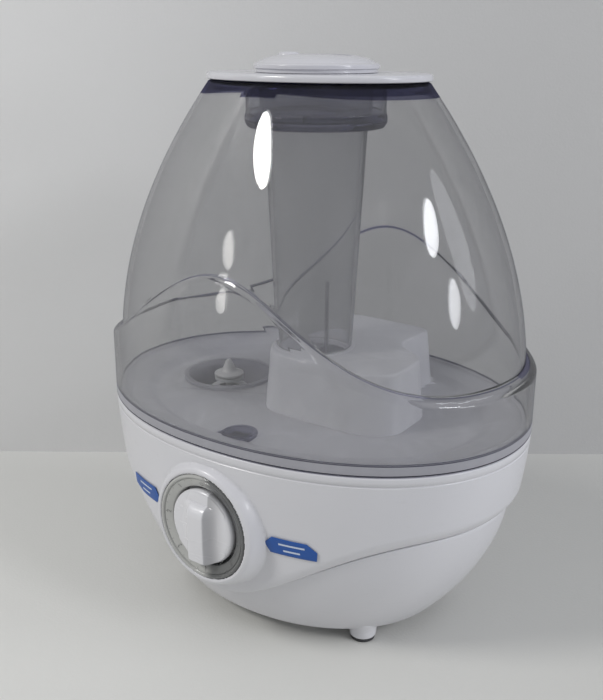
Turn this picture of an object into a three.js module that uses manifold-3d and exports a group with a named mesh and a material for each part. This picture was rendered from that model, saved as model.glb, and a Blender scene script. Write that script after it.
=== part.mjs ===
// Cool mist humidifier: oval white base, smoke-clear lift-off tank with a bottom valve cap,
// a mist tube to a turning nozzle, and one mist dial. Millimetres, +Z up, dial facing -Y.
import * as THREE from 'three';
import { mergeVertices } from 'three/addons/utils/BufferGeometryUtils.js';
import Module from 'manifold-3d';

const wasm = await Module();
wasm.setup();

// ---------------------------------------------------------------- driving dimensions
const HALF_WIDTH = 105;            // widest half width, along X, at the tank joint
const DEPTH_RATIO = 0.743;         // depth over width of every oval section
const OVAL_POWER = 2.09;           // superellipse power of the ovals
const OVAL_STEPS = 36;
const ROUND_STEPS = 20;
const GAP = 0.3;                   // clearance between touching pieces
const WALL = 2.5;                  // white housing wall
const CLEAR_WALL = 2.2;            // tank wall
const FOOT_HEIGHT = 7;
const JOINT_Z = 95.1;              // top edge of the white base
const TANK_BOTTOM_Z = JOINT_Z + 0.6;
const TANK_TOP_Z = 241;
const DIAL_Z = 60;
const DIAL_FACE_Y = -81.2;
const BOX_SHIFT_Y = 3.8;           // puts the origin under the middle of the overall box
const FLOOR_TOP_Z = 94.5;          // upper face of the tank's dished floor
const BLOCK_TOP_Z = 121.5;         // top of the hollow block over the mist tower
const DECK_TOP_Z = 91.4;           // upper face of the basin's deck
const DECK_THICKNESS = 2.4;
const CAP_X = -53.5;               // tank neck and cap axis
const CHAMBER_X = 30;              // mist chamber axis
const CHAMBER_Y = -4;
const FLOAT_Y = -54;
const TUBE_FOOT_RADIUS = 17.6;
const TUBE_TOP_RADIUS = 22.6;
const CUP_RADIUS = 31;
const CUP_BOTTOM_Z = 221;

// ---------------------------------------------------------------- materials
const finish = (color, roughness, metalness = 0, opacity = 1) => new THREE.MeshStandardMaterial({
  color, roughness, metalness, opacity, transparent: opacity < 1,
});
const WHITE = finish('#e4e4e6', 0.35);
const SMOKE = finish('#6f7072', 0.12, 0, 0.4);
const DIAL_GREY = finish('#85898a', 0.2);
const RUBBER = finish('#3a3b3d', 0.8);
const SILICONE = finish('#c9cbcc', 0.6);
const STEEL = finish('#b9bcc0', 0.3, 0.9);
const BLACK = finish('#1f2022', 0.5);
const BOARD = finish('#2d6a45', 0.6);
const ALUMINIUM = finish('#a9acb0', 0.4, 0.8);
const LABEL_BLUE = finish('#23509a', 0.5);
const FLOAT_WHITE = finish('#cfd0d0', 0.5);

const humidifier = new THREE.Group();
humidifier.position.y = BOX_SHIFT_Y;

function add(name, shape, material) {
  const mesh = new THREE.Mesh(shape.isBufferGeometry ? shape : toGeometry(shape), material);
  mesh.name = name;
  humidifier.add(mesh);
}

// ---------------------------------------------------------------- solids
function toSolid(geometry) {
  const plain = geometry.clone();
  plain.deleteAttribute('normal');
  plain.deleteAttribute('uv');
  const merged = mergeVertices(plain, 1e-4);
  return new wasm.Manifold(new wasm.Mesh({
    numProp: 3,
    vertProperties: new Float32Array(merged.attributes.position.array),
    triVerts: new Uint32Array(merged.index.array),
  }));
}

function toGeometry(solid) {
  const mesh = solid.getMesh();
  const geometry = new THREE.BufferGeometry();
  geometry.setAttribute('position', new THREE.BufferAttribute(mesh.vertProperties, 3));
  geometry.setIndex(new THREE.BufferAttribute(mesh.triVerts, 1));
  geometry.computeVertexNormals();
  return geometry;
}

function signedVolume(positions, index) {
  const corner = [0, 1, 2].map(() => new THREE.Vector3());
  let volume = 0;
  for (let i = 0; i < index.length; i += 3) {
    corner.forEach((p, k) => p.fromArray(positions, 3 * index[i + k]));
    volume += corner[0].dot(corner[1].clone().cross(corner[2]));
  }
  return volume;
}

// A closed surface through rings of points. Ends that are single points close the solid;
// otherwise the last ring joins the first, which gives a sleeve.
function loft(rings) {
  const positions = [];
  const start = [];
  for (const ring of rings) {
    start.push(positions.length / 3);
    ring.forEach((p) => positions.push(p.x, p.y, p.z));
  }
  const index = [];
  const isSleeve = rings[0].length > 1;
  const spans = isSleeve ? rings.length : rings.length - 1;
  for (let r = 0; r < spans; r += 1) {
    const next = (r + 1) % rings.length;
    const steps = Math.max(rings[r].length, rings[next].length);
    for (let i = 0; i < steps; i += 1) {
      const j = (i + 1) % steps;
      const a = start[r] + (rings[r].length > 1 ? i : 0);
      const b = start[r] + (rings[r].length > 1 ? j : 0);
      const c = start[next] + (rings[next].length > 1 ? i : 0);
      const d = start[next] + (rings[next].length > 1 ? j : 0);
      if (a !== b) index.push(a, b, d);
      if (c !== d) index.push(a, d, c);
    }
  }
  if (signedVolume(positions, index) < 0) index.reverse();
  const geometry = new THREE.BufferGeometry();
  geometry.setAttribute('position', new THREE.Float32BufferAttribute(positions, 3));
  geometry.setIndex(index);
  geometry.computeVertexNormals();
  return geometry;
}

function ovalPoint(halfX, halfY, angle, z) {
  const c = Math.cos(angle);
  const s = Math.sin(angle);
  const power = 2 / OVAL_POWER;
  return new THREE.Vector3(
    halfX * Math.sign(c) * Math.abs(c) ** power,
    halfY * Math.sign(s) * Math.abs(s) ** power,
    z,
  );
}

// One ring of an oval body; halfX, halfY and z may each be a number or a function of the angle.
function ovalRing(halfX, halfY, z, steps = OVAL_STEPS) {
  const at = (value, angle) => (typeof value === 'function' ? value(angle) : value);
  return Array.from({ length: steps }, (_, i) => {
    const angle = (2 * Math.PI * i) / steps;
    return ovalPoint(at(halfX, angle), at(halfY, angle), angle, at(z, angle));
  });
}

function roundRing(radius, z, steps = OVAL_STEPS) {
  return Array.from({ length: steps }, (_, i) => {
    const angle = (2 * Math.PI * i) / steps;
    return new THREE.Vector3(radius * Math.cos(angle), radius * Math.sin(angle), z);
  });
}

const middle = (z) => [new THREE.Vector3(0, 0, z)];

// A turned solid about Z through (x, y); its profile lists [radius, z] points.
function turned(profile, x = 0, y = 0, steps = ROUND_STEPS) {
  const points = profile.map(([radius, z]) => new THREE.Vector2(radius, z));
  const onAxis = profile[0][0] === 0 && profile.at(-1)[0] === 0;
  if (!onAxis) points.push(points[0].clone());
  const geometry = new THREE.LatheGeometry(points, steps);
  geometry.rotateX(Math.PI / 2);
  geometry.translate(x, y, 0);
  const solid = toSolid(geometry);
  return solid.volume() < 0 ? toSolid(flipped(geometry)) : solid;
}

function flipped(geometry) {
  const copy = geometry.clone();
  copy.setIndex(Array.from(copy.index.array).reverse());
  return copy;
}

const disc = (radius, z0, z1, x = 0, y = 0, steps = ROUND_STEPS) => turned(
  [[0, z0], [radius, z0], [radius, z1], [0, z1]], x, y, steps,
);
const tube = (outer, inner, z0, z1, x = 0, y = 0, steps = ROUND_STEPS) => turned(
  [[inner, z0], [outer, z0], [outer, z1], [inner, z1]], x, y, steps,
);

function box(low, high) {
  const size = high.map((value, i) => value - low[i]);
  const geometry = new THREE.BoxGeometry(...size);
  geometry.translate(...low.map((value, i) => value + size[i] / 2));
  return toSolid(geometry);
}

// A turned solid whose axis points along -Y through (0, DIAL_Z): profile is [radius, depth from
// the dial's face], with depth growing into the housing.
function dialTurned(profile, steps = ROUND_STEPS) {
  return turned(profile.map(([radius, depth]) => [radius, -depth]), 0, 0, steps)
    .rotate([90, 0, 0])
    .translate([0, DIAL_FACE_Y, DIAL_Z]);
}

// An upright prism with rounded plan corners, narrowing by `inset` towards its top.
function towerPrism(corners, z0, z1, offset, inset) {
  const outline = roundedOutline(corners);
  const grown = (amount) => growOutline(outline, amount);
  const ring = (points, z) => points.map(([x, y]) => new THREE.Vector3(x, y, z));
  const centre = outline.reduce(([sx, sy], [x, y]) => [sx + x, sy + y], [0, 0])
    .map((sum) => sum / outline.length);
  const hub = (z) => [new THREE.Vector3(...centre, z)];
  return toSolid(loft([
    hub(z0), ring(grown(offset), z0), ring(grown(offset - inset), z1), hub(z1),
  ]));
}

function roundedOutline(corners) {
  const cut = 0.3;
  const points = [];
  corners.forEach(([x, y], i) => {
    const [px, py] = corners.at(i - 1);
    const [nx, ny] = corners[(i + 1) % corners.length];
    points.push([x + (px - x) * cut, y + (py - y) * cut]);
    points.push([x + (nx - x) * cut, y + (ny - y) * cut]);
  });
  return points;
}

function growOutline(points, amount) {
  return points.map(([x, y], i) => {
    const [px, py] = points.at(i - 1);
    const [nx, ny] = points[(i + 1) % points.length];
    const length = Math.hypot(nx - px, ny - py);
    return [x + (amount * (ny - py)) / length, y - (amount * (nx - px)) / length];
  });
}

// ---------------------------------------------------------------- outline of the body
// Raised cosine across the width: 1 at the front and back middle, 0 at the two sides.
function arch(angle) {
  const across = ovalPoint(1, 1, angle, 0).x;
  return ((1 + Math.cos(Math.PI * across)) / 2) ** 1.2;
}

const depthAt = (z) => DEPTH_RATIO + 0.075 * ((JOINT_Z - Math.min(z, JOINT_Z)) / JOINT_Z) ** 2;

// Tank: an egg whose lower band stands proud below a wavy shoulder line.
const SHOULDER_LOW_Z = 124;
const SHOULDER_HIGH_Z = 166;
const eggHalfWidth = (z) => 100.5 * (1 - ((z - 115) / 179.5) ** 2);
const shoulderZ = (angle) => SHOULDER_LOW_Z + (SHOULDER_HIGH_Z - SHOULDER_LOW_Z) * arch(angle);
function bandHalfWidth(z) {
  if (z < SHOULDER_LOW_Z) return HALF_WIDTH;
  const rise = (z - SHOULDER_LOW_Z) / (SHOULDER_HIGH_Z - SHOULDER_LOW_Z);
  return Math.min(HALF_WIDTH, eggHalfWidth(z) + Math.max(0.9, 4.8 * (1 - rise ** 2)));
}

// Base: an upper band that overhangs a rounded bowl below a wavy parting line.
const PARTING_LOW_Z = 25;
const PARTING_HIGH_Z = 63;
const partingZ = (angle) => PARTING_HIGH_Z - (PARTING_HIGH_Z - PARTING_LOW_Z) * arch(angle);
const bandWidth = (z) => HALF_WIDTH - 0.06 * (JOINT_Z - z) - 0.0018 * (JOINT_Z - z) ** 2;
const bowlWidth = (z) => 98 * (1 - 0.3 * ((70 - Math.min(z, 70)) / 63) ** 2);

// ---------------------------------------------------------------- base
function bowlRings(inset, lowZ, heights) {
  const topZ = (angle) => partingZ(angle) - GAP;
  return heights.map((t) => {
    const z = (angle) => lowZ + (topZ(angle) - lowZ) * t;
    return ovalRing(
      (angle) => bowlWidth(z(angle)) - inset,
      (angle) => bowlWidth(z(angle)) * depthAt(z(angle)) - inset,
      z,
    );
  });
}

const FOOT_PLACES = {
  front_right: [51, -31], front_left: [-51, -31], rear_right: [51, 31], rear_left: [-51, 31],
};
const PAD_HEIGHT = 1.4;
const POST_PLACES = {
  front_right: [37, -37], front_left: [-28, -40], rear_right: [37, 37], rear_left: [-28, 40],
};
const BOWL_FLOOR_Z = FOOT_HEIGHT + WALL;
const SCREW_HEAD_RADIUS = 3.4;

function lowerBowl() {
  const outer = bowlRings(0, FOOT_HEIGHT, [0, 0.08, 0.2, 0.4, 0.7, 1]);
  const inner = bowlRings(WALL, BOWL_FLOOR_Z, [0, 0.2, 0.55, 1]);
  const hollow = toSolid(loft([middle(BOWL_FLOOR_Z), ...inner, middle(BOWL_FLOOR_Z + 50)]));
  let bowl = toSolid(loft([
    middle(FOOT_HEIGHT), ...outer, ...inner.slice().reverse(), middle(BOWL_FLOOR_Z),
  ]));
  for (const [x, y] of Object.values(FOOT_PLACES)) {
    const lowZ = PAD_HEIGHT + GAP;
    const foot = turned([[0, lowZ], [5.9, lowZ], [6.4, 7], [7.4, 13], [0, 13]], x, y, 20);
    bowl = bowl.add(foot.subtract(hollow));
  }
  for (const [x, y] of Object.values(POST_PLACES)) {
    bowl = bowl.subtract(disc(2, 0, 20, x, y, 12));
    bowl = bowl.subtract(disc(SCREW_HEAD_RADIUS + GAP, 0, FOOT_HEIGHT + 1.2, x, y, 16));
  }
  for (let row = -3; row <= 3; row += 1) {
    const x = FAN_X + row * 5;
    const reach = 17 - Math.abs(row) * 1.5;
    bowl = bowl.subtract(box([x - 1.3, FAN_Y - reach, 0], [x + 1.3, FAN_Y + reach, 20]));
  }
  const glandBoss = glandCylinder(9.5, 54, GLAND_FACE_Y);
  bowl = bowl.add(glandBoss);
  return bowl.subtract(glandCylinder(GLAND_RADIUS + GAP, 50, 90));
}

const GLAND_X = -30;
const GLAND_Z = 21;
const GLAND_RADIUS = 6;
const GLAND_FACE_Y = 63.5;
const glandCylinder = (radius, y0, y1) => disc(radius, y0, y1, 0, 0, 16)
  .rotate([-90, 0, 0])
  .translate([GLAND_X, 0, GLAND_Z]);

function cordGland() {
  const profile = [[2.6, 0], [7.6, 0], [7.6, 2], [GLAND_RADIUS, 2], [GLAND_RADIUS, 13], [2.6, 13]];
  return turned(profile, 0, 0, 16)
    .rotate([90, 0, 0])
    .translate([GLAND_X, GLAND_FACE_Y + GAP + 2, GLAND_Z]);
}

function housingWidth(z, angle) {
  const above = z - partingZ(angle);
  const tuck = Math.max(0, 1 - above / 7) ** 2;
  return bandWidth(z) - 3.4 * tuck * (1 - 0.6 * arch(angle));
}

function housingRings(inset, heights) {
  const lowZ = (angle) => partingZ(angle) + GAP;
  return heights.map((t) => {
    const z = (angle) => lowZ(angle) + (JOINT_Z - lowZ(angle)) * t;
    return ovalRing(
      (angle) => housingWidth(z(angle), angle) - inset,
      (angle) => housingWidth(z(angle), angle) * depthAt(z(angle)) - inset,
      z,
    );
  });
}

const BOSS_RADIUS = 28;
const DIAL_RADIUS = 23.7;
const SHAFT_RADIUS = 3;

function upperHousing() {
  const outer = housingRings(0, [0, 0.05, 0.14, 0.35, 0.7, 1]);
  const inner = housingRings(WALL, [0, 0.14, 0.5, 1]);
  let housing = toSolid(loft([...outer, ...inner.slice().reverse()]));
  const recess = DIAL_RADIUS + GAP;
  housing = housing.add(dialTurned([
    [0, 0.4], [25.6, 0.4], [26.8, 1.6], [BOSS_RADIUS, 9], [BOSS_RADIUS, 12], [0, 12],
  ]));
  housing = housing.subtract(dialTurned([[0, -5], [recess, -5], [recess, 9.6], [0, 9.6]]));
  housing = housing.subtract(dialTurned([[0, 5], [4.6, 5], [4.6, 20], [0, 20]], 16));
  return housing;
}

function dialRing() {
  return dialTurned([
    [17.4, 9.3], [DIAL_RADIUS, 9.3], [DIAL_RADIUS, 0.6], [23.2, 0],
    [22.2, 0], [21.6, 1.6], [17.9, 3.4], [17.4, 5],
  ], 32);
}

function knobBody() {
  const cap = dialTurned([[0, 8], [15.6, 8], [16.9, 1.4], [15.6, 0], [0, -0.6]]);
  const section = [[-5.6, 1], [5.6, 1], [4.1, 5.4], [-4.1, 5.4]];
  const ridge = new THREE.Shape(section.map(([x, y]) => new THREE.Vector2(x, y)));
  const bar = new THREE.ExtrudeGeometry(ridge, { depth: 31.6, bevelEnabled: false });
  bar.translate(0, 0, -15.8);
  const grip = toSolid(bar).rotate([180, 0, 0]).translate([0, DIAL_FACE_Y + 1, DIAL_Z]);
  const bore = dialTurned([[0, 3], [SHAFT_RADIUS + GAP, 3], [SHAFT_RADIUS + GAP, 12], [0, 12]], 16);
  return cap.add(grip).subtract(bore);
}

const knobShaft = () => dialTurned([[0, 3.4], [SHAFT_RADIUS, 3.4], [SHAFT_RADIUS, 17], [0, 17]], 16);

function potentiometer() {
  const body = box([-8, -67, DIAL_Z - 8], [8, -58, DIAL_Z + 8]);
  const pins = box([-6, -62, DIAL_Z - 13], [6, -61, DIAL_Z - 7.5]);
  const bore = dialTurned([[0, 12], [SHAFT_RADIUS + GAP, 12], [SHAFT_RADIUS + GAP, 17.5], [0, 17.5]], 16);
  return body.add(pins).subtract(bore);
}

// ---------------------------------------------------------------- basin
// Plan of the tank's hollow block, corner by corner; the mist tower stands inside it.
const BLOCK_CORNERS = [
  [-22, -8], [-9, -26], [40, -26], [56, -17], [54, 14], [34, 26], [35, 58], [-16, 58], [-22, 40],
];
const BLOCK_DRAFT = 2.4;
const TOWER_TOP_Z = 114;
const CAP_WELL_RADIUS = 29.5;
const CAP_WELL_Z = 70;
const CHAMBER_RADIUS = 17;
const CHAMBER_Z = 74;
const FLOAT_WELL_RADIUS = 8.2;
const FLOAT_WELL_Z = 76;
const BASIN_WALL = 2;
const DUCT_TOP = { x: [-4, 19], y: [32, 44] };
const CHIMNEY_TOP_Z = 104;
const SLAB_LOW_Z = DECK_TOP_Z - DECK_THICKNESS;

const CHANNEL = { y: [-7, 3], z: CHAMBER_Z + 4 };

// The water channel runs from the cap well to the mist chamber; `wall` grows it to its outer faces.
function channelRoom(wall, topZ) {
  const [y0, y1] = CHANNEL.y;
  return box([CAP_X, y0 - wall, CHANNEL.z - wall], [CHAMBER_X, y1 + wall, topZ]);
}

function well(x, y, radius, z) {
  return disc(radius + BASIN_WALL, z, DECK_TOP_Z, x, y);
}

function wellRoom(x, y, radius, z) {
  return disc(radius, z + BASIN_WALL, DECK_TOP_Z + 40, x, y);
}

const CAP_WELL = [CAP_X, 0, CAP_WELL_RADIUS, CAP_WELL_Z];
const CHAMBER = [CHAMBER_X, CHAMBER_Y, CHAMBER_RADIUS, CHAMBER_Z];
const FLOAT_WELL = [0, FLOAT_Y, FLOAT_WELL_RADIUS, FLOAT_WELL_Z];

function basin() {
  const deckHalf = bandWidth(DECK_TOP_Z) - WALL - GAP;
  let body = toSolid(loft([
    middle(SLAB_LOW_Z),
    ovalRing(deckHalf, deckHalf * DEPTH_RATIO - 0.7, SLAB_LOW_Z),
    ovalRing(deckHalf, deckHalf * DEPTH_RATIO - 0.7, DECK_TOP_Z),
    middle(DECK_TOP_Z),
  ]));
  body = body.subtract(well(...CHAMBER)).subtract(channelRoom(BASIN_WALL, DECK_TOP_Z + 5));
  body = body.add(well(...CAP_WELL)).add(well(...FLOAT_WELL));
  body = body.subtract(wellRoom(...CAP_WELL)).subtract(wellRoom(...FLOAT_WELL));
  body = body.subtract(channelRoom(0, DECK_TOP_Z + 5)).subtract(ductChimney());
  body = body.add(turned([
    [0, CAP_WELL_Z + 1], [3.4, CAP_WELL_Z + 1], [2.6, VALVE_FOOT_Z - GAP], [0, VALVE_FOOT_Z - GAP],
  ], CAP_X, 0, 16));
  for (const [x, y] of Object.values(POST_PLACES)) {
    body = body.add(tube(4, 1.5, BOWL_FLOOR_Z + GAP, SLAB_LOW_Z + 0.5, x, y, 12));
  }
  return body;
}

// Round mist chamber over the transducer, with the trough that feeds it.
function mistChamber() {
  const trough = channelRoom(BASIN_WALL, DECK_TOP_Z).subtract(well(...CAP_WELL));
  return well(...CHAMBER).add(trough)
    .subtract(wellRoom(...CHAMBER))
    .subtract(channelRoom(0, DECK_TOP_Z + 5))
    .subtract(disc(9, CHAMBER_Z - 1, CHAMBER_Z + 3, CHAMBER_X, CHAMBER_Y));
}

// Open-topped wall that stands on the deck inside the tank's block and guides the air and mist.
function mistTower() {
  return towerPrism(BLOCK_CORNERS, DECK_TOP_Z, TOWER_TOP_Z, -5, BLOCK_DRAFT * 0.8)
    .subtract(towerPrism(BLOCK_CORNERS, DECK_TOP_Z - 1, TOWER_TOP_Z + 5, -7, BLOCK_DRAFT))
    .subtract(ductChimney());
}

function ductChimney() {
  const { x: [x0, x1], y: [y0, y1] } = DUCT_TOP;
  const low = [x0 - BASIN_WALL, y0 - BASIN_WALL, SLAB_LOW_Z];
  return box(low, [x1 + BASIN_WALL, y1 + BASIN_WALL, CHIMNEY_TOP_Z]);
}

// Square sleeve that carries the air through the deck.
function airChimney() {
  const { x: [x0, x1], y: [y0, y1] } = DUCT_TOP;
  return ductChimney().subtract(box([x0, y0, SLAB_LOW_Z - 5], [x1, y1, CHIMNEY_TOP_Z + 5]));
}

function airDuct() {
  const ring = (x0, x1, y0, y1, z) => [[x0, y0], [x1, y0], [x1, y1], [x0, y1]]
    .map(([x, y]) => new THREE.Vector3(x, y, z));
  const [x0, x1] = DUCT_TOP.x;
  const [y0, y1] = DUCT_TOP.y;
  const wall = 1.6;
  const lowZ = FAN_TOP_Z + GAP;
  const highZ = SLAB_LOW_Z - GAP;
  const half = FAN_BORE - 2;
  return loft([
    ring(FAN_X - half, FAN_X + half, FAN_Y - half, FAN_Y + half, lowZ),
    ring(x0 - wall, x1 + wall, y0 - wall, y1 + wall, highZ - 18),
    ring(x0 - wall, x1 + wall, y0 - wall, y1 + wall, highZ),
    ring(x0, x1, y0, y1, highZ),
    ring(x0, x1, y0, y1, highZ - 18),
    ring(FAN_X - half + wall, FAN_X + half - wall, FAN_Y - half + wall, FAN_Y + half - wall, lowZ),
  ]);
}

// ---------------------------------------------------------------- transducer and float
function transducerParts() {
  const at = [CHAMBER_X, CHAMBER_Y];
  add('transducer_disc', disc(9.8, CHAMBER_Z - 2, CHAMBER_Z - 0.9, ...at), STEEL);
  add('transducer_seal', tube(12.4, 10.2, CHAMBER_Z - 2, CHAMBER_Z - GAP, ...at), RUBBER);
  add('transducer_retainer', tube(15, 7, CHAMBER_Z - 4.4, CHAMBER_Z - 2.4, ...at), STEEL);
  for (let i = 0; i < 3; i += 1) {
    const angle = (2 * Math.PI * i) / 3 + 0.4;
    const x = CHAMBER_X + 13.6 * Math.cos(angle);
    const y = CHAMBER_Y + 13.6 * Math.sin(angle);
    add(`retainer_screw_${i + 1}`, disc(1.9, CHAMBER_Z - 6, CHAMBER_Z - 4.7, x, y, 12), STEEL);
  }
}

function floatParts() {
  add('level_float', turned([
    [0, 78.6], [2, 78.6], [2, 80], [6.6, 80], [7, 81], [7, 85], [6, 86.2], [0, 86.2],
  ], 0, FLOAT_Y, 24), FLOAT_WHITE);
  add('float_magnet', disc(1.6, 86.5, 88, 0, FLOAT_Y, 12), STEEL);
  add('float_retainer', tube(FLOAT_WELL_RADIUS - GAP, 5, 91.5, 92, 0, FLOAT_Y, 24), WHITE);
  add('level_switch', box([-5, FLOAT_Y - 4, 72], [5, FLOAT_Y + 4, FLOAT_WELL_Z - GAP]), BLACK);
}

// ---------------------------------------------------------------- fan and electronics
const FAN_X = 8;
const FAN_Y = 22;
const FAN_HALF = 22;
const FAN_BORE = 20.5;
const FAN_LOW_Z = BOWL_FLOOR_Z + GAP;
const FAN_TOP_Z = FAN_LOW_Z + 15;

function fanHousing() {
  const frame = box(
    [FAN_X - FAN_HALF, FAN_Y - FAN_HALF, FAN_LOW_Z], [FAN_X + FAN_HALF, FAN_Y + FAN_HALF, FAN_TOP_Z],
  );
  let housing = frame.subtract(disc(FAN_BORE, FAN_LOW_Z - 1, FAN_TOP_Z + 1, FAN_X, FAN_Y));
  housing = housing.add(disc(8, FAN_LOW_Z, FAN_LOW_Z + 1.6, FAN_X, FAN_Y, 20));
  for (let i = 0; i < 4; i += 1) {
    const arm = box([-1.2, 7, FAN_LOW_Z], [1.2, FAN_BORE + 0.6, FAN_LOW_Z + 1.6]).rotate([0, 0, 90 * i + 45]);
    housing = housing.add(arm.translate([FAN_X, FAN_Y, 0]));
  }
  return housing;
}

function fanImpeller() {
  const lowZ = FAN_LOW_Z + 4;
  const highZ = FAN_TOP_Z - 1;
  let rotor = turned([
    [6.6, lowZ], [8, lowZ], [8, highZ], [0, highZ], [0, highZ - 1.6], [6.6, highZ - 1.6],
  ]);
  for (let i = 0; i < 7; i += 1) {
    const blade = box([-0.7, 7.4, -4.5], [0.7, FAN_BORE - 1, 4.5]).rotate([0, 38, 0]);
    rotor = rotor.add(blade.translate([0, 0, (lowZ + highZ) / 2]).rotate([0, 0, (360 * i) / 7]));
  }
  return rotor.translate([FAN_X, FAN_Y, 0]);
}

function electronics() {
  add('main_board', box([-62, -20, 16], [-18, 12, 17.6]), BOARD);
  add('transformer', box([-56, -14, 17.9], [-40, 2, 31]), BLACK);
  let fins = box([-34, -14, 17.9], [-24, 6, 21]);
  for (let i = 0; i < 4; i += 1) {
    fins = fins.add(box([-34 + i * 2.8, -14, 20], [-32.6 + i * 2.8, 6, 34]));
  }
  add('heat_sink', fins, ALUMINIUM);
  let supports = box([-60, -18, BOWL_FLOOR_Z + GAP], [-57, 10, 15.7]);
  supports = supports.add(box([-60, -18, BOWL_FLOOR_Z + GAP], [-22, -15, 11.5]));
  supports = supports.add(box([-25, -18, BOWL_FLOOR_Z + GAP], [-22, 10, 15.7]));
  add('board_bracket', supports, WHITE);
  add('oscillator_board', box([12, -46, 40], [46, -44.4, 64]), BOARD);
  add('drive_transistor', box([22, -50, 46], [36, -46.3, 60]), BLACK);
}

// ---------------------------------------------------------------- tank
function tankRings(inset, topZ, bandSteps, eggSteps) {
  const ring = (width, z) => ovalRing(
    (angle) => width(z(angle)) - inset,
    (angle) => width(z(angle)) * DEPTH_RATIO - inset,
    z,
  );
  const band = bandSteps.map((t) => ring(
    bandHalfWidth, (angle) => TANK_BOTTOM_Z + (shoulderZ(angle) - 1 - TANK_BOTTOM_Z) * t,
  ));
  const edge = ring((z) => (bandHalfWidth(z) * 2 + eggHalfWidth(z)) / 3, (angle) => shoulderZ(angle) - 0.6);
  const egg = eggSteps.map((t) => ring(
    eggHalfWidth, (angle) => shoulderZ(angle) + 0.8 + (topZ - shoulderZ(angle) - 0.8) * t,
  ));
  return [...band, edge, ...egg];
}

function tankShell() {
  const roofThickness = 2.4;
  const outer = tankRings(0, TANK_TOP_Z, [0, 0.45, 0.8, 1], [0, 0.2, 0.4, 0.6, 0.8, 1]);
  const inner = tankRings(CLEAR_WALL, TANK_TOP_Z - roofThickness, [0, 0.6, 1], [0, 0.25, 0.5, 0.75, 1]);
  const hole = CUP_RADIUS + 0.6;
  return loft([
    ...outer, roundRing(hole, TANK_TOP_Z), roundRing(hole, TANK_TOP_Z - roofThickness), ...inner.reverse(),
  ]);
}

const NECK_RADIUS = 22.6;
const NECK_INNER = 20.4;
const NECK_LOW_Z = 80;
const FLOOR_THICKNESS = 2;
const FLOOR_RIM_Z = 100;
const FLOOR_FLAT_HALF = 87;

function tankFloor() {
  const rimHalf = HALF_WIDTH - CLEAR_WALL - GAP;
  const ring = (half, z) => ovalRing(half, half * DEPTH_RATIO - (half > 90 ? 0.5 : 0), z);
  const under = FLOOR_TOP_Z - FLOOR_THICKNESS;
  let floor = toSolid(loft([
    middle(under),
    ring(FLOOR_FLAT_HALF, under),
    ring(99, FLOOR_RIM_Z - 2.6),
    ring(rimHalf, FLOOR_RIM_Z - 2.2),
    ring(rimHalf, FLOOR_RIM_Z),
    ring(99, FLOOR_RIM_Z - 0.4),
    ring(FLOOR_FLAT_HALF, FLOOR_TOP_Z),
    middle(FLOOR_TOP_Z),
  ]));
  floor = floor.add(towerPrism(BLOCK_CORNERS, under, BLOCK_TOP_Z, 0, BLOCK_DRAFT));
  floor = floor.add(disc(NECK_RADIUS, NECK_LOW_Z, FLOOR_TOP_Z, CAP_X));
  floor = floor.subtract(disc(NECK_INNER, NECK_LOW_Z - 1, FLOOR_TOP_Z + 3, CAP_X));
  floor = floor.subtract(towerPrism(BLOCK_CORNERS, under - 1, BLOCK_TOP_Z - 2, -2, BLOCK_DRAFT));
  return floor.subtract(disc(TUBE_FOOT_RADIUS - 2.4, BLOCK_TOP_Z - 10, BLOCK_TOP_Z + 5));
}

function mistTube() {
  const lowZ = BLOCK_TOP_Z + GAP;
  const highZ = CUP_BOTTOM_Z - GAP;
  return turned([
    [TUBE_FOOT_RADIUS - 1.8, lowZ], [TUBE_FOOT_RADIUS, lowZ],
    [TUBE_TOP_RADIUS, highZ], [TUBE_TOP_RADIUS - 1.8, highZ],
  ]);
}

function nozzleCup() {
  const topZ = TANK_TOP_Z - GAP;
  return turned([
    [18, CUP_BOTTOM_Z], [CUP_RADIUS, CUP_BOTTOM_Z], [CUP_RADIUS, topZ],
    [CUP_RADIUS - 1.8, topZ], [CUP_RADIUS - 1.8, CUP_BOTTOM_Z + 3], [18, CUP_BOTTOM_Z + 3],
  ]);
}

const PLATE_LOW_Z = TANK_TOP_Z + GAP;
const PLATE_TOP_Z = TANK_TOP_Z + 3.2;
const NOZZLE_HOLE = 25.2;

function topPlate() {
  const rim = (inset, z) => ovalRing(52.3 - inset, 39.3 - inset, z);
  return loft([
    rim(0, PLATE_LOW_Z), rim(0, PLATE_TOP_Z - 0.8), rim(0.8, PLATE_TOP_Z),
    roundRing(NOZZLE_HOLE, PLATE_TOP_Z), roundRing(NOZZLE_HOLE, PLATE_LOW_Z),
  ]);
}

// ---------------------------------------------------------------- nozzle
function nozzleInsert() {
  const lowZ = CUP_BOTTOM_Z + 3 + GAP;
  const outer = NOZZLE_HOLE - 0.6;
  const inner = outer - 1.8;
  let insert = turned([
    [12, lowZ], [outer, lowZ], [outer, PLATE_TOP_Z], [inner, PLATE_TOP_Z], [inner, lowZ + 2], [12, lowZ + 2],
  ]);
  for (const slotY of [-20, 14]) {
    insert = insert.subtract(box([-8, slotY, lowZ - 1], [8, slotY + 6, lowZ + 3]));
  }
  return insert;
}

const NOZZLE_LOW_Z = PLATE_TOP_Z + GAP;
const NOZZLE_TOP_Z = 252.6;

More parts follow.
